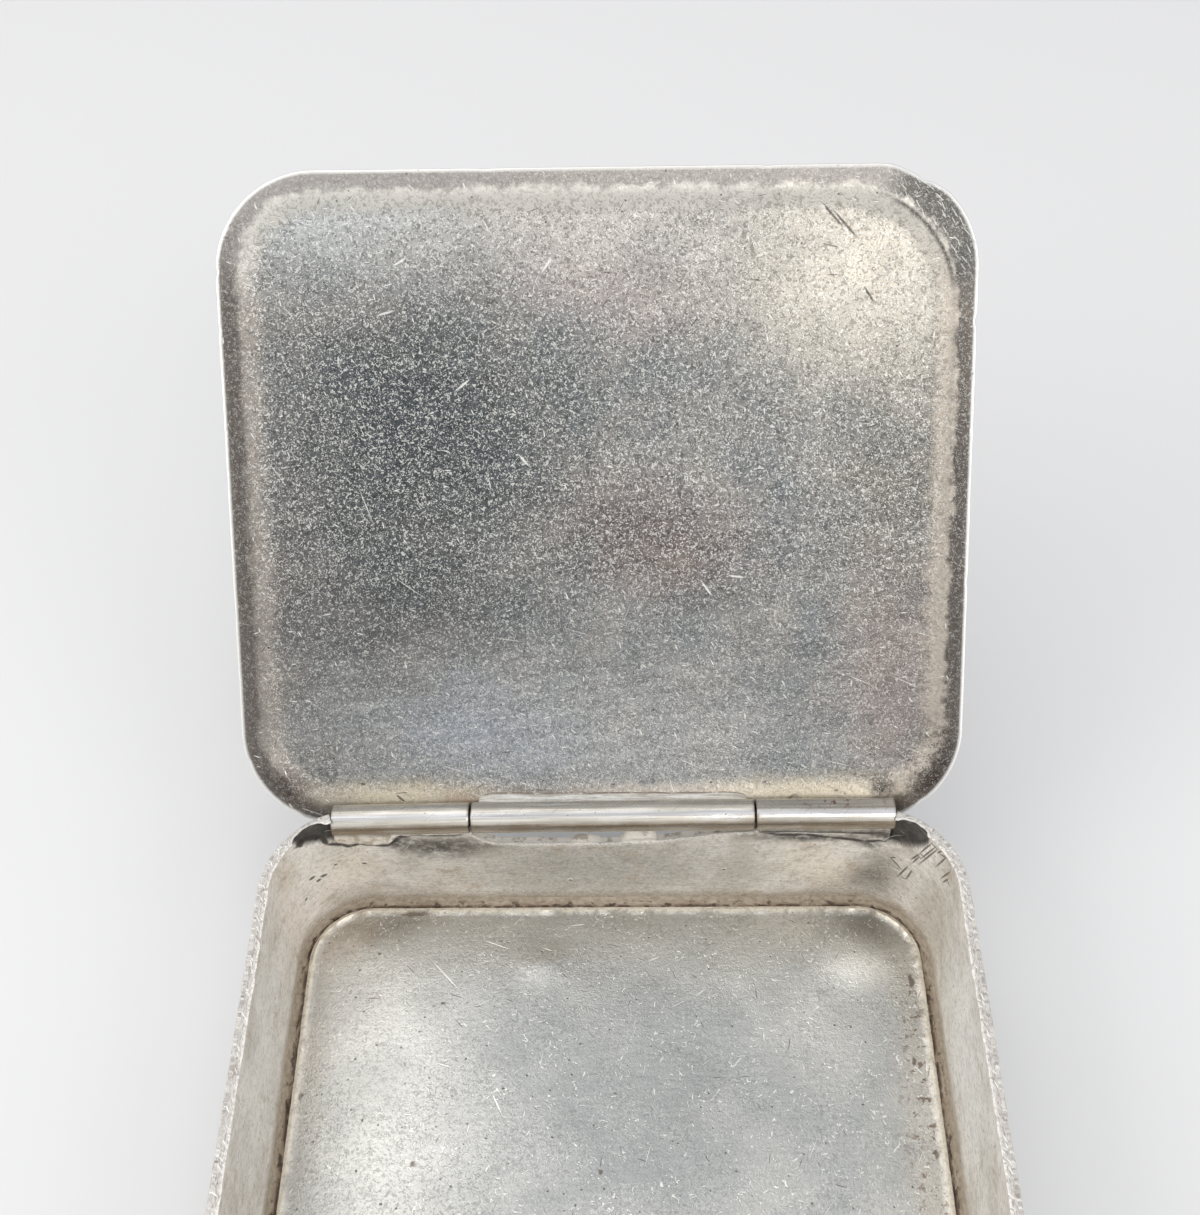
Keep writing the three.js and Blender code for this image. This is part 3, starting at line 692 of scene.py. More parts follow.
def bent_pin():
    """The wire through the tubes: on the axis in the centre tube, off it with the outer tubes."""
    half = HINGE_HALF_LENGTH - PIN_RECESS
    ends = [(0.0, 0.02), (0.02, 0.5), (0.1, 0.8), (0.3, 1.0)]
    profile = [(-half + a, r) for a, r in ends] + [(x, 1.0) for x in np.linspace(-half + 1.5, half - 1.5, 40)]
    profile += [(half - a, r) for a, r in ends[::-1]]
    x, share = np.array(profile).T[..., None]
    outer = smooth_step(18.0, 28.0, abs(x))
    radius = share * (PIN_THIN_RADIUS + (PIN_RADIUS - PIN_THIN_RADIUS) * outer)
    angle = np.linspace(0, 2 * math.pi, PIN_AROUND, endpoint=False)
    points = around_axis(x, radius, angle, drift(x) * outer)
    shape = Shape()
    shape.grid(points, paired(x, np.linspace(0, 6.6, PIN_AROUND + 1)), wrap_cols=True)
    shape.caps(points)
    return shape.build("hinge_pin_bent", pin_metal())


def swept_bead(name, stations, section, material, crack, lid=False):
    """A bead of solder along X. section(x) gives the closed outline as points in Y and Z, and the fifth argument
    says how dark each point of an outline is: painted shadow for the solder on the wall, a brown line for the
    lid's strip."""
    outlines = np.stack([section(x) for x in stations])
    stations = stations[:, None]
    points = np.dstack([np.broadcast_to(stations, outlines.shape[:2]), outlines])
    if lid:
        points = swung_open(points)
    girth = run_along(outlines[0])
    girth[-1] = girth[-2] + 1
    shape = Shape()
    shape.grid(points, paired(stations, girth), wrap_cols=True, crack=crack)
    shape.caps(points, crack=0.5)
    return shape.build(name, material)


BEAD_STEPS = 16
BEAD_START = math.radians(33)
# How dark each point of a bead's outline is painted: painted shadow along the lower edge of the left lump and over
# most of the right fillet
BEAD_SHADOW = [0.5, 0.2] + [0.0] * 6 + [0.1, 0.6] + [1.0] * 6 + [1.0, 1.0, 0.5]
FILLET_SHADOW = [0.4, 0.3] + [0.6] * 4 + [0.85] * 10 + [1.0, 1.0, 0.5]
# The solder under the outer tubes: places along X, and its lower edge and swelling there
BEAD_X = [-32.9, -32.4, -31.5, -30.5, -29.1, -28.1, -26.6, -25.8, -25.1, -24.2, -21.0, -17.9]
BEAD_LOW = [17.2, 16.9, 16.3, 16.6, 16.3, 16.1, 16.5, 17.6, 18.2, 18.2, 18.0, 18.1]
BEAD_BULGE = [0.25, 0.4, 0.5, 0.45, 0.55, 0.6, 0.55, 0.25, 0.08, 0.04, 0.04, 0.03]
FILLET_X = [17.3, 19.0, 21.5, 24.0, 27.0, 30.0, 32.6]
FILLET_LOW = [18.1, 18.1, 18.2, 18.0, 17.9, 17.6, 17.7]
FILLET_BULGE = [0.02, 0.06, 0.03, 0.06, 0.08, 0.08, 0.03]
# How dark each point of the lid's strip is: a brown line along its edge at the lid
STRIP_DARK_LINE = [0.3, 0.1, 0, 0, 0, 0, 0.1, 0.5, 1.0, 1.0, 1.0, 1.0]
STRIP_STEPS = 9
STRIP_STATIONS = 150
STRIP_HALF_LENGTH = 15.85
STRIP_START = math.radians(158)


def wall_face_y(x):
    """The inner face of the rear wall, also round its corners."""
    over = max(abs(x) - CORE_X, 0)
    return CORE_Y + math.sqrt(max((BODY_CORNER_RADIUS - WALL_THICKNESS) ** 2 - over ** 2, 0))


def wall_bead_section(x, low, bulge):
    """Solder between a tube and the wall below it: down the tube, out over the lump, and back inside the wall."""
    face = wall_face_y(x)
    beyond = max(abs(x) - HINGE_HALF_LENGTH, 0)
    reach = TUBE_RADIUS - 0.06
    off_y, off_z = drift(x)
    start_y = AXIS_Y + off_y - reach * math.cos(BEAD_START)
    start_z = AXIS_Z + off_z - reach * math.sin(BEAD_START) - beyond * 0.9
    start_y = min(start_y, face - 0.1) if beyond == 0 else face - max(0.75 - beyond * 0.3, 0.1)
    start_z = max(start_z, low + 0.25)
    points = []
    for t in np.linspace(0, 1, BEAD_STEPS):
        y = start_y + (face - 0.02 - start_y) * t ** 1.5
        z = start_z + (low - start_z) * t
        out = bulge * math.sin(math.pi * t ** 1.35) ** 0.6 if 0 < t < 1 else 0
        lump = 0.09 * rough(x, t * 2.2, 1.1, SOLDER_SEED) * math.sin(math.pi * t)
        points.append((y - out + lump, z - 0.25 * out))
    points.append((face + 0.35, low + 0.2))
    points.append((face + 0.5, max(SEAT_Z - 0.2, low + 0.6)))
    points.append((min(face + 0.5, AXIS_Y - 0.3), max(AXIS_Z - TUBE_RADIUS + 0.25 - beyond * 0.9, low + 0.7)))
    return np.array(points)


def wall_bead(name, xs, lows, bulges, crack):
    def section(x):
        return wall_bead_section(x, np.interp(x, xs, lows), np.interp(x, xs, bulges))

    stations = np.linspace(xs[0], xs[-1], round((xs[-1] - xs[0]) / TUBE_STEP))
    return swept_bead(name, stations, section, solder_metal(), crack)


def lid_bead():
    """The flat bright strip where the centre tube is soldered to the lid, drawn with the lid shut."""
    def underside(y):
        """Height of the lid's underside above the axis, y from the axis."""
        local_y = y + AXIS_Y - LID_CENTRE[1]
        return LID_UNDERSIDE + lid_rise(0.0, local_y, LID_HALF_DEPTH - local_y)

    def section(x):
        end = min(1.0, (15.9 - abs(x)) / 1.6)
        reach = 1.75 + 0.5 * end ** 0.6 + 0.06 * rough(x, 0.0, 1.8, SOLDER_SEED + 3)
        sy = (TUBE_RADIUS - 0.08) * math.cos(STRIP_START) - math.hypot(*drift(x))
        sz = (TUBE_RADIUS - 0.08) * math.sin(STRIP_START)
        top = underside(-reach)
        points = []
        for t in np.linspace(0, 1, STRIP_STEPS):
            arch = math.sin(math.pi * t)
            y = sy + (-reach - sy) * t + 0.08 * arch
            lump = 0.03 * rough(x, t * 2, 0.9, SOLDER_SEED + 4) * arch
            points.append((y, sz + (top - sz) * t ** 0.8 - 0.08 * arch + lump - 0.03 * (t == 1)))
        points += [(0.2 - reach, top + 0.12), (-1.0, underside(-1.0) + 0.15), (-0.2, KNUCKLE_RADIUS - 0.1)]
        return np.array(points) + [AXIS_Y, AXIS_Z]

    stations = np.linspace(-STRIP_HALF_LENGTH, STRIP_HALF_LENGTH, STRIP_STATIONS)
    return swept_bead("lid_solder_flat", stations, section, strip_metal(), STRIP_DARK_LINE, lid=True)


# Materials
# A colour is written as the three 0 to 255 values that it shows as.


class Value:
    """The result of a node. Sums, differences and products of it add the maths nodes."""

    def __init__(self, graph, socket):
        self.graph, self.socket = graph, socket

    def __mul__(self, other):
        return self.graph.calc("MULTIPLY", self, other)

    def __add__(self, other):
        return self.graph.calc("ADD", self, other)

    def __sub__(self, other):
        return self.graph.calc("SUBTRACT", self, other)

    def __rsub__(self, other):
        return self.graph.calc("SUBTRACT", other, self)

    def __truediv__(self, other):
        return self.graph.calc("DIVIDE", self, other)

    def __abs__(self):
        return self.graph.calc("ABSOLUTE", self)

    def most(self, other):
        """The larger of the two."""
        return self.graph.calc("MAXIMUM", self, other)

    def fade(self, low, high, to_low=0.0, to_high=1.0):
        """Goes softly from one value to the other as this goes from low to high."""
        made = self.graph.node("ShaderNodeMapRange", interpolation_type="SMOOTHSTEP")
        for socket, given in zip(made.inputs, (self, low, high, to_low, to_high)):
            self.graph.link(given, socket)
        return Value(self.graph, made.outputs[0])

    def parts(self, kind="XYZ"):
        """The parts of a place or a colour."""
        made = self.graph.node("ShaderNodeSeparate" + kind)
        self.graph.link(self, made.inputs[0])
        return [Value(self.graph, socket) for socket in made.outputs]


class Graph:
    """Adds nodes to a material, and keeps the colour that the coats build up."""

    def __init__(self, name, metallic=1.0):
        self.material = bpy.data.materials.new(name)
        self.material.use_nodes = True
        self.tree = self.material.node_tree
        self.shader = next(n for n in self.tree.nodes if n.type == "BSDF_PRINCIPLED")
        self.link(metallic, self.shader.inputs["Metallic"])
        self.flat = self.attribute("surface_mm", "Vector")
        self.solid = self.vector("SCALE", self.node("ShaderNodeTexCoord").outputs["Object"], Scale=1 / MM)
        self.colour = None

    def node(self, kind, **settings):
        made = self.tree.nodes.new(kind)
        for key, value in settings.items():
            setattr(made, key, value)
        return made

    def link(self, value, socket):
        """Links a result to the socket, or sets the socket to a number, a vector or a colour."""
        if isinstance(value, Value):
            value = value.socket
        if isinstance(value, bpy.types.NodeSocket):
            self.tree.links.new(value, socket)
        else:
            socket.default_value = srgb(*value) if socket.type == "RGBA" else value

    def filled(self, kind, values, output=0, **settings):
        """A node with the given inputs, by number or name. Gives one of its outputs."""
        made = self.node(kind, **settings)
        for key, value in values.items():
            self.link(value, made.inputs[key])
        return Value(self, made.outputs[output])

    def attribute(self, name, output="Fac"):
        return self.filled("ShaderNodeAttribute", {}, output, attribute_name=name)

    def calc(self, operation, a, b=0.0):
        return self.filled("ShaderNodeMath", {0: a, 1: b}, operation=operation)

    def vector(self, operation, *values, output=0, **named):
        values = {**dict(enumerate(values)), **named}
        return self.filled("ShaderNodeVectorMath", values, output, operation=operation)

    def framed(self, where, kind, move=(0, 0, 0), turn=0.0, scale=(1, 1, 1)):
        """The place after a move, turn and scaling (POINT), or as seen from a frame placed by them (TEXTURE)."""
        values = {"Vector": where, "Location": move, "Rotation": (0, 0, turn), "Scale": scale}
        return self.filled("ShaderNodeMapping", values, vector_type=kind)

    def noise(self, where, size, detail=2.0, roughness=0.5, distortion=0.0, move=None, output=0):
        """Noise with bumps about `size` millimetres across."""
        where = where if move is None else self.framed(where, "POINT", move)
        values = {"Vector": where, "Scale": 1 / size, "Detail": detail, "Roughness": roughness,
                  "Distortion": distortion}
        return self.filled("ShaderNodeTexNoise", values, output)

    def grain(self, across, up, detail, roughness=0.5, distortion=0.0, turn=0.0, size=1.0):
        """Noise that is drawn out: across and up are the numbers of bumps to a millimetre both ways."""
        where = self.framed(self.flat, "POINT", turn=turn, scale=(across, up, 1))
        return self.noise(where, size, detail, roughness, distortion)

    def tint(self, share, a, b, blend="MIX"):
        return self.filled("ShaderNodeMix", {0: share, 6: a, 7: b}, 2, data_type="RGBA", blend_type=blend)

    def coat(self, share, colour):
        """Lays a colour over what is there."""
        self.colour = self.tint(share, self.colour, colour)

    def bright(self, factor):
        """Multiplies the colour by a factor."""
        grey = self.filled("ShaderNodeCombineColor", {0: factor, 1: factor, 2: factor})
        self.colour = self.tint(1.0, self.colour, grey, "MULTIPLY")

    def marks(self, cell, length, width, share, turn=0.0, spread=math.pi, move=(0, 0, 0)):
        """One straight mark in each cell of the surface, with its own place, direction and strength. share is how
        many of the cells have one. A mark about as long as it is wide is a round pit."""
        here = self.framed(self.flat, "POINT", move)
        cells = self.node("ShaderNodeTexVoronoi", voronoi_dimensions="2D", feature="F1")
        self.link(here, cells.inputs["Vector"])
        self.link(1 / cell, cells.inputs["Scale"])
        offset = self.vector("SUBTRACT", here, cells.outputs["Position"])
        lots = Value(self, cells.outputs["Color"]).parts("Color")
        angle = lots[0] * spread + (turn - spread / 2)
        turned = self.filled("ShaderNodeVectorRotate", {"Vector": offset, "Angle": angle}, rotation_type="Z_AXIS")
        along, across, _ = turned.parts()
        own = lots[1] * 0.75 + 0.35
        along = abs(along) / (own * length)
        across = abs(across) / width
        near = self.calc("SQRT", along * along + across * across)
        chosen = self.calc("LESS_THAN", lots[2], share)
        return near.fade(1.0, 0.35) * chosen * lots[1].fade(-0.4, 1.0)

    def patch(self, where, x, y, rx, ry, turn=0.0, soft=1.0):
        """1 in the middle of a soft oval patch, 0 outside it."""
        seen = self.framed(where, "TEXTURE", (x, y, 0), turn, (rx, ry, 1))
        return self.vector("LENGTH", seen, output="Value").fade(1.0 + 0.5 * soft, 1.0 - soft)

    def strokes(self, where, lines, width):
        """Soft lines from x0, y0 to x1, y1."""
        drawn = 0.0
        for x0, y0, x1, y1 in lines:
            length, turn = math.dist((x0, y0), (x1, y1)), math.atan2(y1 - y0, x1 - x0)
            drawn = self.patch(where, (x0 + x1) / 2, (y0 + y1) / 2, 0.6 * length, width, turn, 0.5).most(drawn)
        return drawn

    def wander(self, size, reach):
        """The place, pushed about by soft noise, so that a patch gets an uneven outline."""
        cloud = self.noise(self.flat, size, 3.0, output="Color")
        shifted = self.vector("MULTIPLY_ADD", cloud, (reach * 2, reach * 2, 0), self.flat)
        return self.vector("SUBTRACT", shifted, (reach, reach, 0))

    def paint(self, where, patches):
        """Lays soft patches on the colour: x, y, half width, half height, turn, strength, colour."""
        for x, y, rx, ry, turn, share, *tone in patches:
            self.coat(self.patch(where, x, y, rx, ry, turn) * share, tone)

    def etched(self, size, strength, seed, level=1.0):
        """A worn skin of small dark hollows and bright wriggling glints, which are painted highlights, and the
        colour times level.
        Gives a height for the relief."""
        glints = self.noise(self.flat, 0.62 * size, 1, 0.6, 1.5, (seed, 3, 0))
        hollows = self.noise(self.flat, size, 1, 0.5, 1.3)
        weight = self.calc("MULTIPLY", strength, 1.0)
        self.bright((1.0 - hollows.fade(0.52, 0.36) * (weight * 0.4)) * level)
        # Painted highlights: the glints
        self.coat(glints.fade(0.52, 0.66) * (weight * 0.6), GLINT)
        return hollows + glints

    def finish(self, roughness, height, depth):
        """Sets colour, roughness and relief. depth is in metres, for a height of 1."""
        self.link(self.colour, self.shader.inputs["Base Color"])
        self.link(roughness, self.shader.inputs["Roughness"])
        bump = self.filled("ShaderNodeBump", {"Strength": 1.0, "Distance": depth, "Height": height})
        self.link(bump, self.shader.inputs["Normal"])
        return self.material


WHITE = (255, 254, 250)
GLINT = (238, 237, 232)
# Depth of each material's relief, in metres for a height of 1
LID_RELIEF = 0.00005
WALL_RELIEF = 0.00004
FLOOR_RELIEF = 0.00004
SEAM_RELIEF = 0.0001
TUBE_RELIEF = 0.00002
SOLDER_RELIEF = 0.00012
STRIP_RELIEF = 0.00005
PIN_RELIEF = 0.00003
# Light and dark places on the lid's underside, partly tarnish and partly painted reflection: the pale places along
# the free edge, palest at the right, are painted reflections of the light. x, y, half sizes, turn, strength,
# colour
LID_TONES = [
    (-27, -34, 18, 10, 0.0, 0.8, 220, 222, 222), (0, -34, 20, 12, 0.0, 0.8, 228, 221, 215),
    (31, -27, 17, 15, 0.4, 0.9, 246, 237, 222), (-22, -3, 21, 23, 0.1, 0.9, 86, 89, 92),
    (-20, -12, 15, 10, 0.2, 0.6, 76, 83, 89), (7, 4, 13, 8, 0.3, 0.6, 122, 102, 97),
    (2, -24, 12, 5, 0.2, 0.3, 196, 174, 172), (34, -2, 9, 17, 0.0, 0.6, 136, 130, 122),
    (-24, 13, 13, 7, 0.0, 0.5, 84, 85, 88), (0, 28, 36, 11, 0.0, 0.6, 178, 178, 178),
    (-14, 27, 12, 6, 0.1, 0.45, 166, 175, 190), (34, 20, 7, 15, 0.0, 0.45, 172, 150, 142),
    (-37, 12, 5, 18, 0.0, 0.4, 124, 113, 108)]
# Stains near the hinge, where the solder was heated, in the same form
LID_STAINS = [
    (-24, 34.4, 11, 2.3, 0.0, 0.85, 222, 210, 186), (25, 34.2, 12, 2.4, 0.0, 0.85, 224, 212, 188),
    (-16.5, 34.8, 2.5, 1.2, 0.2, 0.4, 186, 150, 124), (27, 35.6, 9, 0.5, 0.0, 0.7, 120, 88, 66),
    (33.2, 33.6, 1.6, 1.3, 0.3, 0.85, 80, 72, 67), (38.6, 33.2, 3.2, 1.7, -0.8, 0.75, 88, 76, 69),
    (-36.8, 33.2, 3.2, 1.6, 0.8, 0.65, 92, 80, 75)]
# Dark tarnish at the rear corners: x, y, half sizes, turn, strength
LID_TARNISH = [
    (-37.5, 33.0, 4.0, 2.4, 0.75, 0.75), (-33.0, 31.5, 3.0, 2.0, 0.3, 0.5), (38.6, 32.6, 3.4, 2.6, -0.7, 0.95),
    (39.8, 29.0, 2.0, 4.4, -0.1, 0.8), (33.2, 33.8, 1.3, 1.1, 0.0, 1.0), (28.5, 33.9, 0.7, 0.4, 0.0, 0.9),
    (36.6, 30.0, 1.6, 1.2, 0.5, 0.6), (22.5, 34.9, 1.0, 0.3, 0.0, 0.9), (19.5, 32.9, 0.6, 0.35, 0.4, 0.8)]
# Gouges and bright scratches that stand out: from x, y to x, y
LID_GOUGES = [(25.3, -33.3, 27.3, -31.2), (26.5, -32.6, 28.9, -30.0), (30.0, -24.4, 31.0, -22.9),
              (-24.4, 34.3, -23.5, 35.0)]
LID_GLINTS = [(-22.6, -27.4, -21.2, -28.2), (-24.5, -22.0, -22.9, -22.4), (-6.0, -26.5, -5.0, -28.0),
              (12.0, 9.0, 13.0, 10.4), (15.2, 8.2, 16.8, 8.4), (-16.0, -13.5, -14.6, -14.6),
              (-9.0, -6.0, -8.0, -4.8)]


def lid_inner_colours(g, across, inset):
    """The underside's clouds, wiped streaks, worn border, bevel, filed corner, stains and tarnish. The clouds hold
    painted reflections, and the border and bevel hold painted light and shade.
    """
    flat = g.flat
    right_way, rear_way, _ = across
    smoke = g.noise(flat, 0.9, 4, 0.7).fade(0.40, 0.6)
    # Tarnish clouds and painted reflections
    g.paint(g.wander(7, 3.0), LID_TONES)
    wiped = g.noise(g.framed(flat, "TEXTURE", turn=-0.12, scale=(14, 1.3, 1)), 1.0, 3, 0.55, 0.9)
    wiped = wiped.fade(0.35, 0.65, -0.09, 0.1) * rear_way.fade(-14, 8, 0.25, 1.0)
    g.bright(wiped + g.noise(flat, 2.6, 3, 0.6, 0.5).fade(0.35, 0.65, -0.07, 0.08) + 1.0)
    # Painted light and shade on the border and bevel: lighter towards the free edge, and on the right the bevel is
    # lighter and the border darker
    top = rear_way.fade(-22, -35)
    right = right_way.fade(-6, 6)
    border_with_painted_light = g.tint(top, g.tint(right, (112, 104, 98), (96, 88, 82)), (178, 172, 168))
    corner = g.patch(flat, 39.0, -32.0, 8.5, 6.5, 1.0, 0.35)
    hatch = g.marks(1.0, 1.3, 0.09, 0.85, -1.0, 0.5, (31, 7, 0))
    border_with_painted_light = g.tint(corner, border_with_painted_light, g.tint(hatch * 0.8, (78, 77, 77), (226, 224, 220)))
    border_edge = inset + g.noise(flat, 2.2, 3, 0.6).fade(0.3, 0.7, -0.45, 0.45)
    g.coat(border_edge.fade(2.9, 1.8) * 0.85, border_with_painted_light)
    bevel_painted_light = g.tint(top, g.tint(right, (158, 150, 141), (218, 206, 192)), (255, 250, 241))
    g.coat(border_edge.fade(1.7, 2.7) * border_edge.fade(5.4, 3.6) * 0.75, bevel_painted_light)
    fold = inset.fade(2.2, 2.6) * inset.fade(3.1, 2.6) * corner
    g.coat(fold * 0.8, (78, 74, 71))
    g.paint(g.wander(3, 1.0), LID_STAINS)
    worn = g.noise(flat, 0.7, 5, 0.75).fade(0.5, 0.58).most(smoke.fade(0.3, 1.0, 0.1, 0.75))
    ragged = g.wander(1.6, 1.0)
    for x, y, rx, ry, turn, share in LID_TARNISH:
        g.coat(g.patch(ragged, x, y, rx, ry, turn) * worn * share, (66, 56, 52))


def lid_metal(name, inside):
    g = Graph(name)
    inset, edge = g.attribute("inset"), g.attribute("edge")
    across = g.flat.parts()
    rear_way = across[1]
    broad = g.noise(g.flat, 9, 4, 0.6)
    dull, pale = ((134, 137, 139), (160, 157, 153)) if inside else ((192, 192, 190), (210, 208, 203))
    g.colour = g.tint(broad.fade(0.34, 0.68), dull, pale)
    strength, level = 0.3, 0.97
    if inside:
        lid_inner_colours(g, across, inset)
        strength, level = rear_way.fade(2, 16, 1.0, 0.7) * inset.fade(2.0, 5.0, 0.45, 1.0), 0.77
    height = g.etched(0.52, strength, 7, level)
    arcs = g.marks(5, 2.4, 0.1, 0.35, -0.28, 0.35, (40, 3, 0)) * rear_way.fade(6, 18, 0.2, 1.0)
    light = g.marks(12, 2.6, 0.07, 0.3, 2.4, 1.5, (5, 60, 0)).most(arcs * 0.6)
    light = g.marks(2.1, 0.5, 0.1, 0.45, -0.6, 2.0).most(light)
    pits = g.marks(2.8, 0.17, 0.14, 0.35, 0.0, 3.0, (90, 20, 0))
    low = pits.most(g.marks(4.2, 0.9, 0.07, 0.35, 0.4, 2.6, (17, 71, 0)) * 0.7)
    if inside:
        light = light.most(g.strokes(g.flat, LID_GLINTS, 0.14))
        low = low.most(g.strokes(g.flat, LID_GOUGES, 0.12))
    g.coat(light * 0.7, (244, 243, 238))
    g.coat(low * 0.7, (74, 71, 69))
    # Near white along the edge: polish wear and a painted highlight on the rounded edge
    g.coat(edge * 0.9, (255, 253, 250))
    height = height * g.calc("MULTIPLY", strength, 0.8) - (light * 0.5 + low * 1.2)
    return g.finish(broad.fade(0.3, 0.7, 0.46, 0.36), height, LID_RELIEF)


# Light and dark places on the walls' inner face, partly rubbed patches and partly painted light: the broad pale
# patches over both side walls are painted light. Distance along the wall, height, half sizes, turn, strength,
# colour
WALL_TONES = [
    (178, 11, 6.5, 5, 0.0, 0.7, 255, 243, 226), (188, 11, 7, 8, 0.0, 0.8, 255, 240, 226),
    (164.6, 7, 6, 5, 0.0, 0.6, 255, 246, 230), (121, 11.0, 5.5, 5, 0.3, 0.85, 255, 246, 230),
    (117, 8.0, 5, 4, 0.0, 0.5, 255, 240, 220), (112.4, 7.6, 3.6, 5.4, 0.2, 0.8, 116, 108, 98),
    (147, 10, 22, 11, 0.0, 0.8, 164, 159, 148), (82, 12, 17, 11, 0.0, 0.85, 255, 254, 250),
    (205, 12, 20, 9, 0.0, 0.85, 255, 252, 246), (183.5, 13, 8, 9, 0.0, 0.5, 255, 249, 238),
    (186.6, 18.5, 2.4, 4.0, 0.0, 0.4, 214, 196, 168), (101, 9, 6, 9, 0.0, 0.6, 190, 182, 164)]
# Dark patches on the wall under the tubes: distance along the wall, height, half sizes, turn, strength
WALL_DARK_UNDER_TUBES = [
    (166.0, 14.9, 6.0, 2.8, 0.1, 0.95), (161.0, 15.8, 4.5, 1.8, 0.0, 0.6), (170.0, 16.0, 2.4, 1.8, 0.0, 0.8),
    (122, 16.9, 7.5, 1.1, 0.0, 0.95), (114, 15.4, 2.6, 1.1, 0.4, 0.9), (112, 17.3, 4.0, 1.0, 0.0, 0.8),
    (128.5, 18.0, 2.0, 0.6, 0.0, 0.6)]
# Marks of the file in the right rear corner: from distance and height to distance and height
FILE_MARKS = [
    (110.6, 13.1, 108.8, 11.6), (110.6, 13.1, 109.9, 13.6), (108.9, 9.7, 108.0, 13.0), (108.6, 9.8, 107.7, 10.1),
    (107.7, 10.1, 107.3, 12.7), (107.8, 15.0, 106.9, 17.2), (107.5, 14.4, 106.9, 16.4), (107.3, 16.7, 106.5, 16.4),
    (106.9, 17.4, 105.8, 20.9), (106.5, 16.6, 105.1, 20.9), (106.5, 15.3, 104.7, 20.9), (105.8, 20.9, 104.7, 20.9),
    (106.9, 17.4, 105.7, 17.2), (104.0, 17.9, 103.0, 21.3), (104.0, 20.6, 103.0, 21.3), (104.5, 20.3, 104.0, 21.5),
    (102.6, 17.0, 101.5, 20.2), (102.1, 16.8, 101.4, 18.6), (101.7, 18.2, 100.5, 18.3)]
# Pits with a bright rim: distance along the wall, height, half sizes
WALL_PITS = [
    (181.1, 11.3, 0.7, 0.35), (182.7, 12.5, 0.6, 0.35), (181.9, 11.0, 0.45, 0.3), (175.2, 11.0, 0.4, 0.25),
    (179.0, 12.4, 0.3, 0.2), (184.6, 9.5, 0.3, 0.3), (131.0, 9.0, 0.25, 0.2), (150.0, 6.5, 0.25, 0.2)]
# Painted shadow lines on the wall below the solder of the left tube, then below the solder of the right tube, in
# pieces like the file marks
WALL_SHADOW_LINES = [
    (183.6, 20.9, 181.4, 19.9), (181.5, 20.0, 179.6, 18.7), (179.8, 18.8, 179.1, 17.5), (179.3, 17.6, 177.3, 16.1),
    (177.5, 16.2, 176.2, 15.5), (176.4, 15.6, 175.1, 15.8), (175.3, 15.9, 172.6, 15.3), (172.8, 15.3, 171.1, 15.7),
    (171.3, 15.7, 170.0, 17.4), (170.2, 17.5, 168.6, 18.0), (168.8, 18.0, 162.5, 17.8),
    (128.0, 18.5, 125.0, 17.5), (125.3, 17.5, 121.8, 17.6), (122.0, 17.7, 118.7, 16.9), (118.9, 17.0, 114.3, 15.8),
    (114.6, 15.8, 111.8, 16.4)]


def rim_colours(g, rim_noise, cut):
    """The filed rim: streaked, chipped, cut and nicked. The edge of the slot is plainer."""
    colour = g.tint(rim_noise.fade(0.32, 0.6), (156, 151, 147), (218, 213, 208))
    chips = g.noise(g.flat, 1.9, 3, 0.65, 0.8).fade(0.56, 0.66)
    colour = g.tint(chips * 0.6, colour, (150, 138, 130))
    colour = g.tint(g.marks(0.8, 0.75, 0.11, 0.85, 0.8, 0.7, (6, 6, 0)) * 0.95, colour, WHITE)
    colour = g.tint(g.marks(1.3, 0.35, 0.14, 0.5, 1.2, 1.4, (2, 9, 0)) * 0.6, colour, (112, 106, 100))
    slot = g.tint(g.noise(g.flat, 1.6, 3, 0.65).fade(0.36, 0.5), (170, 162, 150), (228, 222, 212))
    return g.tint(cut, colour, slot)


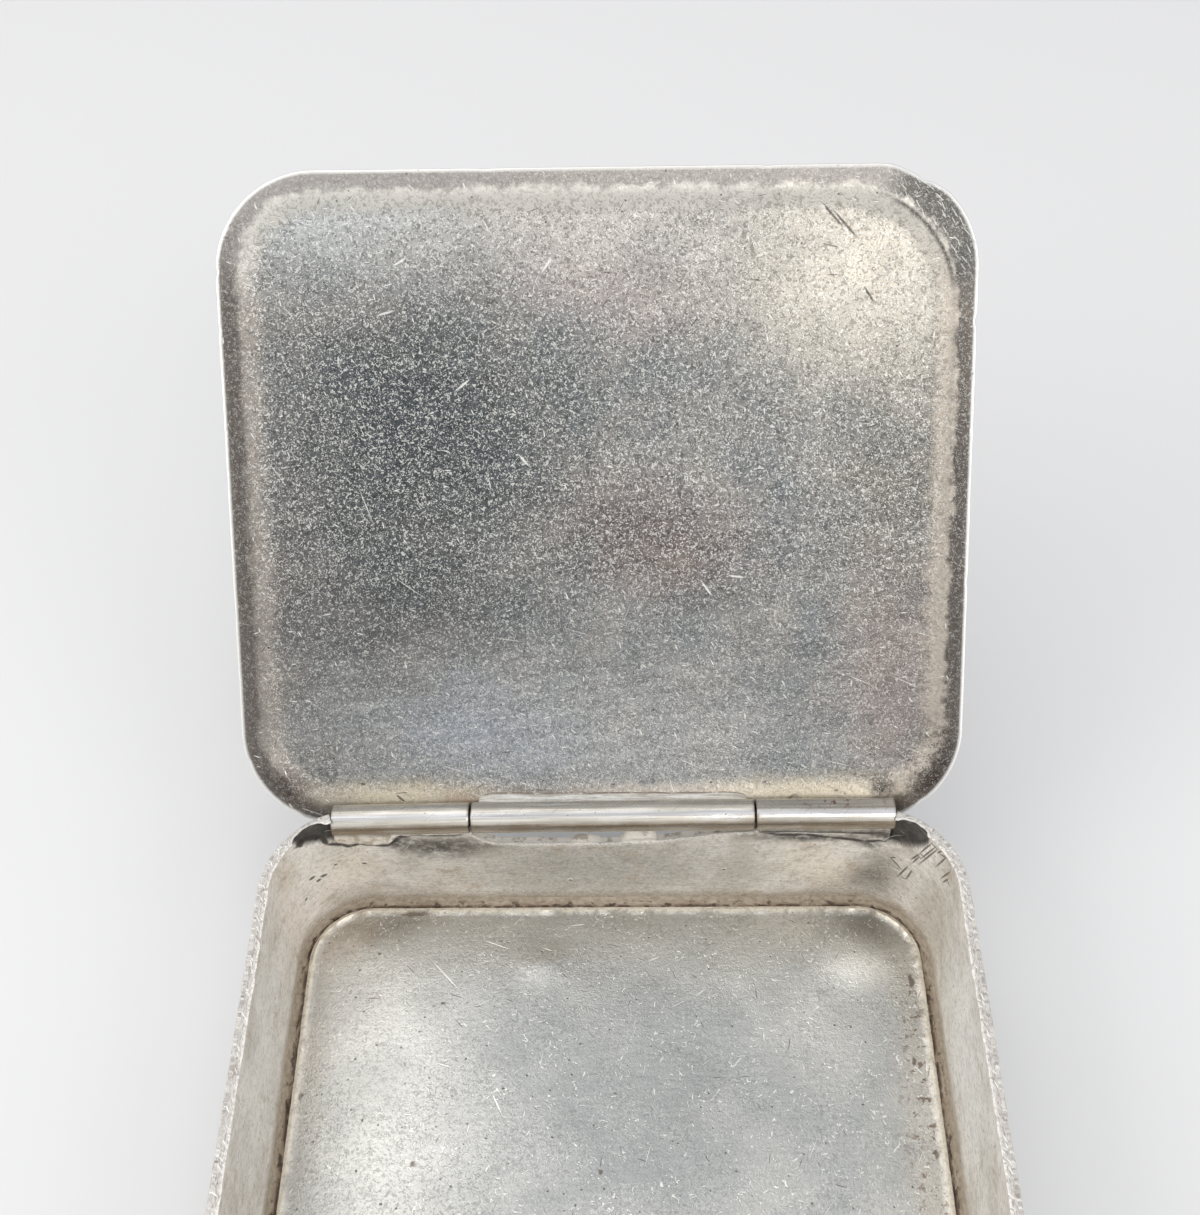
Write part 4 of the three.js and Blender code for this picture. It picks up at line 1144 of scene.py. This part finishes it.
def wall_metal():
    g = Graph("plated_walls")
    flat = g.flat
    rim, burr, inside, hollow, cut = (g.attribute(zone) for zone in ("rim", "burr", "inside", "hollow", "cut"))
    broad = g.noise(flat, 6, 4, 0.62)
    g.colour = g.tint(broad.fade(0.36, 0.64), (216, 207, 195), (250, 244, 236))
    # Rubbed patches, and painted light on the side walls
    g.paint(g.wander(5, 2.2), WALL_TONES)
    outside = (1.0 - inside) * (1.0 - rim)
    g.coat(outside, g.tint(broad.fade(0.3, 0.7), (190, 190, 188), (208, 206, 201)))
    g.link(outside.fade(0, 1, 0.1, 0.92), g.shader.inputs["Metallic"])
    # Darker and browner towards the foot of the inner face
    g.coat(flat.parts()[1].fade(4.4, 1.6) * inside * 0.8, (174, 160, 142))
    g.coat(g.noise(flat, 4, 4, 0.65).fade(0.55, 0.68) * (inside * 0.5), (186, 168, 146))
    etch = g.etched(0.7, 0.5, 11)
    drag = g.grain(0.3, 3.0, 3, 0.65, 0.4)
    dashes = g.grain(1.3, 5.0, 2, 0.6, 0.5)
    g.bright(drag.fade(0.3, 0.7, -0.08, 0.05) + dashes.fade(0.3, 0.7, -0.08, 0.08) + 1.0)
    murk = g.noise(flat, 1.3, 5, 0.7).fade(0.36, 0.56, 0.35, 1.0)
    ragged = g.wander(2.0, 1.1)
    # Dark patches on the wall under the tubes
    for x, y, rx, ry, turn, share in WALL_DARK_UNDER_TUBES:
        g.coat(g.patch(ragged, x, y, rx, ry, turn) * murk * (inside * share), (60, 53, 46))
    for x, y, rx, ry in WALL_PITS:
        g.coat(g.patch(flat, x, y + 0.2, 1.3 * rx, 1.5 * ry, 0.0, 0.4) * 0.7, (255, 252, 244))
        g.coat(g.patch(flat, x, y, rx, ry, 0.3, 0.4) * 0.9, (84, 66, 58))
    # Painted shadow along the lower edge of the solder
    g.coat(g.strokes(g.wander(1.0, 0.25), WALL_SHADOW_LINES, 0.36) * inside * 0.92, (48, 41, 36))
    filed = g.strokes(flat, FILE_MARKS, 0.14) * inside
    g.coat(filed * 0.8, (72, 60, 48))
    rim_noise = g.grain(1.6, 4.2, 4, 0.7, 0.5, 0.6)
    g.coat(rim, rim_colours(g, rim_noise, cut))
    # Painted highlight: bright teeth along the burr on the rim's inner edge
    tooth = g.noise(flat, 0.42, 2, 0.6).fade(0.42, 0.52)
    g.coat(burr * tooth.fade(0, 1, 0.15, 0.9), (252, 248, 242))
    # Near black in the scoops, tarnish and painted shade; the darker end faces of the tongues are painted shade
    g.coat(hollow * 0.96, g.tint(g.noise(flat, 1.0, 3, 0.6).fade(0.35, 0.65), (22, 19, 17), (62, 56, 50)))
    marks = g.marks(2.2, 0.9, 0.07, 0.5, 0.3, 1.6).most(g.marks(6.0, 2.4, 0.06, 0.5, 0.1, 1.0, (20, 31, 0)))
    marks = marks * (1.0 - cut)
    g.coat(marks * 0.6, (252, 249, 240))
    pits = g.marks(1.9, 0.22, 0.12, 0.35, 0.0, 3.0, (50, 11, 0)) * (1.0 - cut)
    g.coat(pits * 0.75, (104, 90, 78))
    height = drag * 0.5 + dashes * 0.5 + etch * 0.5 + rim_noise * rim * 1.6
    height = height - (filed * 1.5 + (marks * 0.4 + pits * 1.2))
    return g.finish(broad.fade(0.3, 0.7, 0.56, 0.44), height, WALL_RELIEF)


# Light and dark places on the floor. Most are painted reflections: the near-white patches at the left and at the
# rear right, a painted highlight at 29.6, 26, the pale band along the rear and the grey middle. x, y, half sizes,
# turn, strength, colour
FLOOR_TONES = [
    (-25, 6, 13, 30, 0.25, 0.8, 250, 248, 242), (25, 19, 9, 8, 0.4, 0.55, 232, 230, 224),
    (29.6, 26, 4.4, 3.8, 0.0, 1.0, 255, 254, 249), (-1, 8, 22, 22, 0.0, 0.7, 172, 175, 176),
    (36, 6, 3.0, 28, 0.0, 0.35, 230, 219, 204), (-34, 30, 5, 4, 0.6, 0.5, 222, 204, 184),
    (-4, 30, 36, 6, 0.0, 0.6, 238, 236, 231), (33.5, 31.0, 5.0, 3.6, 0.0, 0.5, 136, 126, 112),
    (-29, 31.5, 7, 3.0, 0.2, 0.6, 142, 128, 112), (-36.5, 12, 2.4, 16, 0.0, 0.4, 204, 192, 178)]
# Brown specks: x, y, half sizes
FLOOR_SPOTS = [
    (-36.8, 10.0, 0.45, 0.4), (-20.8, 21.4, 0.35, 0.3), (-23.0, 2.0, 0.5, 0.4), (-1.6, 1.1, 0.25, 0.25),
    (36.3, 24.0, 0.4, 1.1), (35.5, 14.0, 0.3, 0.5), (36.6, 3.0, 0.3, 0.6), (34.8, -4.0, 0.4, 0.3),
    (-38.0, 24.0, 0.45, 2.4), (-37.9, 19.0, 0.3, 1.2), (-25.5, 33.3, 2.6, 0.3), (14.0, 33.9, 3.0, 0.22)]
# Bright scratches that stand out: from x, y to x, y
FLOOR_SCRATCHES = [
    (-22.4, 26.6, -19.4, 23.4), (-15.9, 29.4, -13.4, 28.5), (-21.0, 13.8, -19.6, 13.4), (-14.4, 10.2, -13.2, 7.8),
    (-5.5, 31.5, -3.8, 31.7), (-9.0, 28.5, -7.8, 28.1), (4.2, 26.7, 5.4, 27.2), (10.0, 22.2, 11.0, 23.0)]


def floor_metal():
    g = Graph("plated_floor")
    flat = g.flat
    edge, bead = g.attribute("edge"), g.attribute("bead")
    broad = g.noise(flat, 11, 3, 0.5, 0.4)
    g.colour = g.tint(broad.fade(0.34, 0.68), (200, 202, 201), (222, 221, 217))
    # Painted reflections and the plate's own tones
    g.paint(g.wander(6, 2.5), FLOOR_TONES)
    worked = g.noise(flat, 7, 2).fade(0.38, 0.6, 0.22, 0.5) + g.patch(flat, -24, -2, 14, 24) * 0.45
    # Inside the painted highlight at 29.6, 26 the colour keeps its full brightness
    etch = g.etched(0.5, worked, 19, g.patch(flat, 29.6, 26, 4.6, 3.8).fade(0, 1, 0.84, 1.0))
    brush = g.grain(0.25, 2.4, 2, 0.5, 0.0, 0.15)
    g.bright(brush.fade(0.3, 0.7, 0.95, 1.04))
    where = g.noise(flat, 5, 2).fade(0.4, 0.55)
    curls = g.noise(flat, 0.85, 0, 0.5, 2.4, (7, 2, 0)).fade(0.7, 0.77) * where.fade(0, 1, 0.3, 1.0)
    light = (g.marks(2.2, 0.55, 0.12, 0.5, 2.4, 1.8, (13, 5, 0)) * where).most(curls)
    light = light.most(g.marks(6, 1.6, 0.07, 0.3, 2.3, 1.2, (3, 44, 0)))
    light = light.most(g.strokes(flat, FLOOR_SCRATCHES, 0.11))
    g.coat(light * 0.75, WHITE)
    low = g.marks(1.9, 0.2, 0.15, 0.25, 0.0, 3.0, (71, 8, 0))
    low = low.most(g.marks(3.2, 0.9, 0.06, 0.3, 0.9, 2.6, (33, 3, 0)) * 0.75)
    g.coat(low * 0.7, (92, 88, 84))
    ragged = g.wander(0.9, 0.5)
    for x, y, rx, ry in FLOOR_SPOTS:
        g.coat(g.patch(ragged, x, y, rx, ry, 0.0, 0.5) * 0.75, (96, 80, 70))
    brown = g.noise(flat, 1.1, 5, 0.7).fade(0.55, 0.61) * g.patch(flat, 36.3, 8, 3.4, 32)
    g.coat(brown * 0.8, (112, 86, 68))
    rear = g.noise(flat, 1.0, 4, 0.65).fade(0.5, 0.62) * g.patch(flat, -6, 34.3, 34, 1.4)
    g.coat(rear * 0.6, (136, 116, 94))
    # Near white along the edge and the ridge: the solder's pale colour and a painted highlight on the raised edge
    g.coat(edge * g.noise(flat, 0.45, 2, 0.6).fade(0.38, 0.55, 0.3, 0.95), (252, 244, 230))
    g.coat(bead * g.noise(flat, 0.6, 3, 0.65).fade(0.36, 0.5, 0.25, 1.0), (255, 247, 230))
    g.link(1.0 - bead.most(edge) * 0.85, g.shader.inputs["Metallic"])
    height = etch * 0.8 + brush * 0.2 - (light * 0.5 + low * 1.3)
    return g.finish(broad.fade(0.3, 0.7, 0.38, 0.28), height, FLOOR_RELIEF)


def seam_metal():
    g = Graph("seam_solder", 0.35)
    flat = g.flat
    dirt = g.attribute("dirt")
    lumps = g.noise(flat, 0.9, 4, 0.65, 0.4)
    g.colour = g.tint(lumps.fade(0.35, 0.65), (166, 153, 136), (194, 182, 165))
    # Darker and browner towards the plate, darkest in the groove at its edge
    g.coat(dirt.fade(0.1, 0.7) * g.noise(flat, 3.0, 3, 0.6).fade(0.4, 0.6, 0.3, 0.9), (146, 129, 110))
    g.coat(dirt.fade(0.5, 0.78) * g.noise(flat, 1.9, 4, 0.65).fade(0.42, 0.54, 0.08, 1.0), (100, 83, 69))
    g.coat(g.noise(flat, 1.4, 4, 0.6).fade(0.53, 0.6) * dirt.fade(0.15, 0.5) * 0.85, (66, 50, 41))
    return g.finish(lumps.fade(0.3, 0.7, 0.6, 0.48), lumps, SEAM_RELIEF)


def tube_metal():
    g = Graph("hinge_tubes", 0.85)
    around = g.flat.parts()[1] * math.degrees(1 / TUBE_RADIUS)
    lines = g.grain(0.07, 3.2, 3, 0.6)
    broad = g.grain(0.5, 1.2, 3, 0.6, size=3.0)
    g.colour = g.tint(broad.fade(0.34, 0.68), (226, 220, 208), (248, 244, 236))
    # Painted reflection of the box inside: browner on the lower front of the tubes
    under = around.fade(132, 158) * around.fade(205, 192)
    g.coat(under * broad.fade(0.3, 0.7, 0.95, 0.6), (176, 158, 136))
    # Painted highlight: a pale bluish band along the upper front of the tubes
    g.coat(around.fade(96, 108) * around.fade(130, 116) * 0.5, (226, 230, 244))
    g.bright(lines.fade(0.3, 0.7, 0.6, 0.88))
    marks = g.marks(2.0, 1.1, 0.06, 0.4, 0.7, 0.5)
    g.coat(marks * 0.45, (126, 104, 86))
    scored = g.marks(0.9, 1.0, 0.06, 0.75, 0.65, 0.35, (4, 2, 0)) * g.patch(g.flat, -22, 2.0, 8, 0.85)
    g.coat(scored * 0.75, (140, 108, 84))
    rust = g.noise(g.flat, 0.9, 4, 0.65).fade(0.54, 0.62) * g.patch(g.flat, 26.0, 2.2, 6.5, 0.8)
    g.coat(rust * 0.9, (128, 82, 54))
    pits = g.marks(1.6, 0.14, 0.1, 0.35, 0.0, 3.0, (12, 9, 0))
    g.coat(pits * 0.7, (90, 80, 72))
    g.coat(g.attribute("tube_end") * 0.7, (92, 70, 58))
    height = lines * 0.9 + broad * 0.8 - (marks * 0.5 + pits)
    return g.finish(broad.fade(0.3, 0.7, 0.32, 0.22), height, TUBE_RELIEF)


def solder_metal():
    g = Graph("wall_solder", 0.6)
    lumps = g.noise(g.solid, 1.1, 3, 0.55, 0.4)
    g.colour = g.tint(lumps.fade(0.38, 0.6), (206, 194, 178), (250, 244, 234))
    g.coat(g.noise(g.solid, 1.3, 4, 0.7).fade(0.58, 0.66) * 0.5, (120, 102, 86))
    # Painted shadow where the solder meets the wall
    g.coat(g.attribute("crack"), (30, 25, 22))
    return g.finish(lumps.fade(0.3, 0.7, 0.42, 0.3), lumps, SOLDER_RELIEF)


def strip_metal():
    g = Graph("lid_solder", 0.3)
    streaks = g.grain(0.16, 3.4, 3, 0.65, 0.5)
    lumps = g.noise(g.flat, 0.8, 3, 0.6, 0.3)
    g.colour = g.tint(streaks.fade(0.4, 0.56), (212, 205, 194), WHITE)
    g.bright(lumps.fade(0.35, 0.6, 0.86, 1.0))
    line = g.attribute("crack") * g.noise(g.flat, 1.6, 4, 0.7).fade(0.36, 0.5, 0.15, 1.0)
    g.coat(line * 0.95, (100, 74, 56))
    return g.finish(lumps.fade(0.3, 0.7, 0.42, 0.3), streaks + lumps * 0.4, STRIP_RELIEF)


def pin_metal():
    g = Graph("pin_brass")
    spots = g.noise(g.solid, 0.6, 4, 0.6)
    g.colour = g.tint(spots.fade(0.35, 0.65), (96, 72, 50), (150, 124, 84))
    return g.finish(spots.fade(0.3, 0.7, 0.6, 0.42), spots, PIN_RELIEF)


def studio_floor():
    material = bpy.data.materials.new("studio_floor")
    material.use_nodes = True
    shader = next(n for n in material.node_tree.nodes if n.type == "BSDF_PRINCIPLED")
    shader.inputs["Base Color"].default_value = (0.8, 0.8, 0.81, 1)
    shader.inputs["Roughness"].default_value = 0.9
    shader.inputs["Specular IOR Level"].default_value = 0.1
    return material


# Stage, light and camera

CAMERA_PLACE = (1.665, -53.406, 174.984)
CAMERA_PITCH = math.radians(51.988)
CAMERA_YAW = math.radians(1.545)
CAMERA_ROLL = math.radians(-1.671)
CAMERA_LENS = 45.12
SENSOR_WIDTH = 36.0
FLOOR_REACH = 2.5
WORLD_LEVEL = 1.04
# The sky's shade is this much for each unit of the direction, and this in the middle
SKY_SLOPE = (0.0, -0.5, 0.3)
SKY_MIDDLE = 0.4
SKY_DARK = (0.50, 0.51, 0.53, 1)
SKY_LIGHT = (0.92, 0.92, 0.91, 1)
# Square lamps: name, place, aim, side in metres, radiance, colour
SOFTBOXES = [
    ("key", (-0.16, 0.13, 0.55), (0, 0, 0), 0.42, 0.75, (1.0, 0.985, 0.96)),
    ("left", (-0.42, -0.12, 0.36), (0.02, 0, 0.01), 0.3, 2.5, (1.0, 0.99, 0.97)),
    ("fill", (0.45, -0.35, 0.4), (0, 0.02, 0.02), 0.35, 1.7, (0.97, 0.98, 1.0)),
    ("glint", (0.125, -0.355, 0.474), (0.0, 0.06, 0.05), 0.12, 5.5, (1.0, 0.98, 0.95))]


def camera():
    data = bpy.data.cameras.new("photo_camera")
    data.sensor_fit = "HORIZONTAL"
    data.sensor_width = SENSOR_WIDTH
    data.lens = CAMERA_LENS
    data.clip_start, data.clip_end = 0.005, 10
    made = add_object("photo_camera", data)
    turn = Matrix.Rotation(CAMERA_YAW, 4, "Z") @ Matrix.Rotation(math.pi / 2 - CAMERA_PITCH, 4, "X")
    turn = turn @ Matrix.Rotation(CAMERA_ROLL, 4, "Z")
    made.matrix_world = Matrix.Translation(Vector(CAMERA_PLACE) * MM) @ turn
    bpy.context.scene.camera = made


def softbox(name, place, aim, size, radiance, colour):
    data = bpy.data.lights.new(name, "AREA")
    data.shape = "SQUARE"
    data.size = size
    data.energy = radiance * math.pi * size * size
    data.color = colour
    made = add_object(name, data)
    made.location = place
    made.rotation_mode = "QUATERNION"
    made.rotation_quaternion = (Vector(aim) - Vector(place)).to_track_quat("-Z", "Y")


def sky():
    world = bpy.data.worlds.new("studio")
    bpy.context.scene.world = world
    world.use_nodes = True
    nodes, links = world.node_tree.nodes, world.node_tree.links
    back = next(n for n in nodes if n.type == "BACKGROUND")
    slope = nodes.new("ShaderNodeVectorMath")
    slope.operation = "DOT_PRODUCT"
    slope.inputs[1].default_value = SKY_SLOPE
    shade = nodes.new("ShaderNodeMath")
    shade.inputs[1].default_value = SKY_MIDDLE
    ramp = nodes.new("ShaderNodeValToRGB")
    ramp.color_ramp.elements[0].color = SKY_DARK
    ramp.color_ramp.elements[1].color = SKY_LIGHT
    links.new(nodes.new("ShaderNodeTexCoord").outputs["Generated"], slope.inputs[0])
    links.new(slope.outputs["Value"], shade.inputs[0])
    links.new(shade.outputs[0], ramp.inputs[0])
    links.new(ramp.outputs[0], back.inputs[0])
    back.inputs[1].default_value = WORLD_LEVEL


def studio():
    sky()
    for lamp in SOFTBOXES:
        softbox(*lamp)
    data = bpy.data.meshes.new("studio_floor")
    corners = [(-FLOOR_REACH, -FLOOR_REACH, 0), (FLOOR_REACH, -FLOOR_REACH, 0),
               (FLOOR_REACH, FLOOR_REACH, 0), (-FLOOR_REACH, FLOOR_REACH, 0)]
    data.from_pydata(corners, [], [(0, 1, 2, 3)])
    data.materials.append(studio_floor())
    ground = add_object("studio_floor", data)


def dress():
    stands_for(wall_band(), "body", "plated_walls", "wall_band")
    stands_for(floor_plate(), "body", "plated_floor", "floor_plate")
    stands_for(floor_seam(), "body", "solder", "floor_solder_seam")
    stands_for(tube("hinge_tube_left", -HINGE_HALF_LENGTH, -OUTER_JOINT_X, HINGE_SEED, LEFT_DENTS), "body",
               "hinge_tube", "hinge_knuckle_left")
    stands_for(tube("hinge_tube_right", OUTER_JOINT_X, HINGE_HALF_LENGTH, HINGE_SEED + 1, facet=True), "body",
               "hinge_tube", "hinge_knuckle_right")
    stands_for(tube("hinge_tube_centre", -JOINT_X, JOINT_X, HINGE_SEED + 2), "lid", "hinge_tube",
               "hinge_knuckle_centre")
    stands_for(wall_bead("solder_left_lump", BEAD_X, BEAD_LOW, BEAD_BULGE, BEAD_SHADOW), "body",
               "solder", "wall_solder_left")
    stands_for(wall_bead("solder_right_fillet", FILLET_X, FILLET_LOW, FILLET_BULGE, FILLET_SHADOW), "body",
               "solder", "wall_solder_right")
    stands_for(lid_plate(), "lid", "plated_lid", "lid_plate")
    stands_for(lid_bead(), "lid", "solder", "lid_solder_strip")
    stands_for(bent_pin(), "body", "pin_metal", "hinge_pin")


camera()
studio()
dress()
bpy.context.scene.view_settings.view_transform = "Standard"
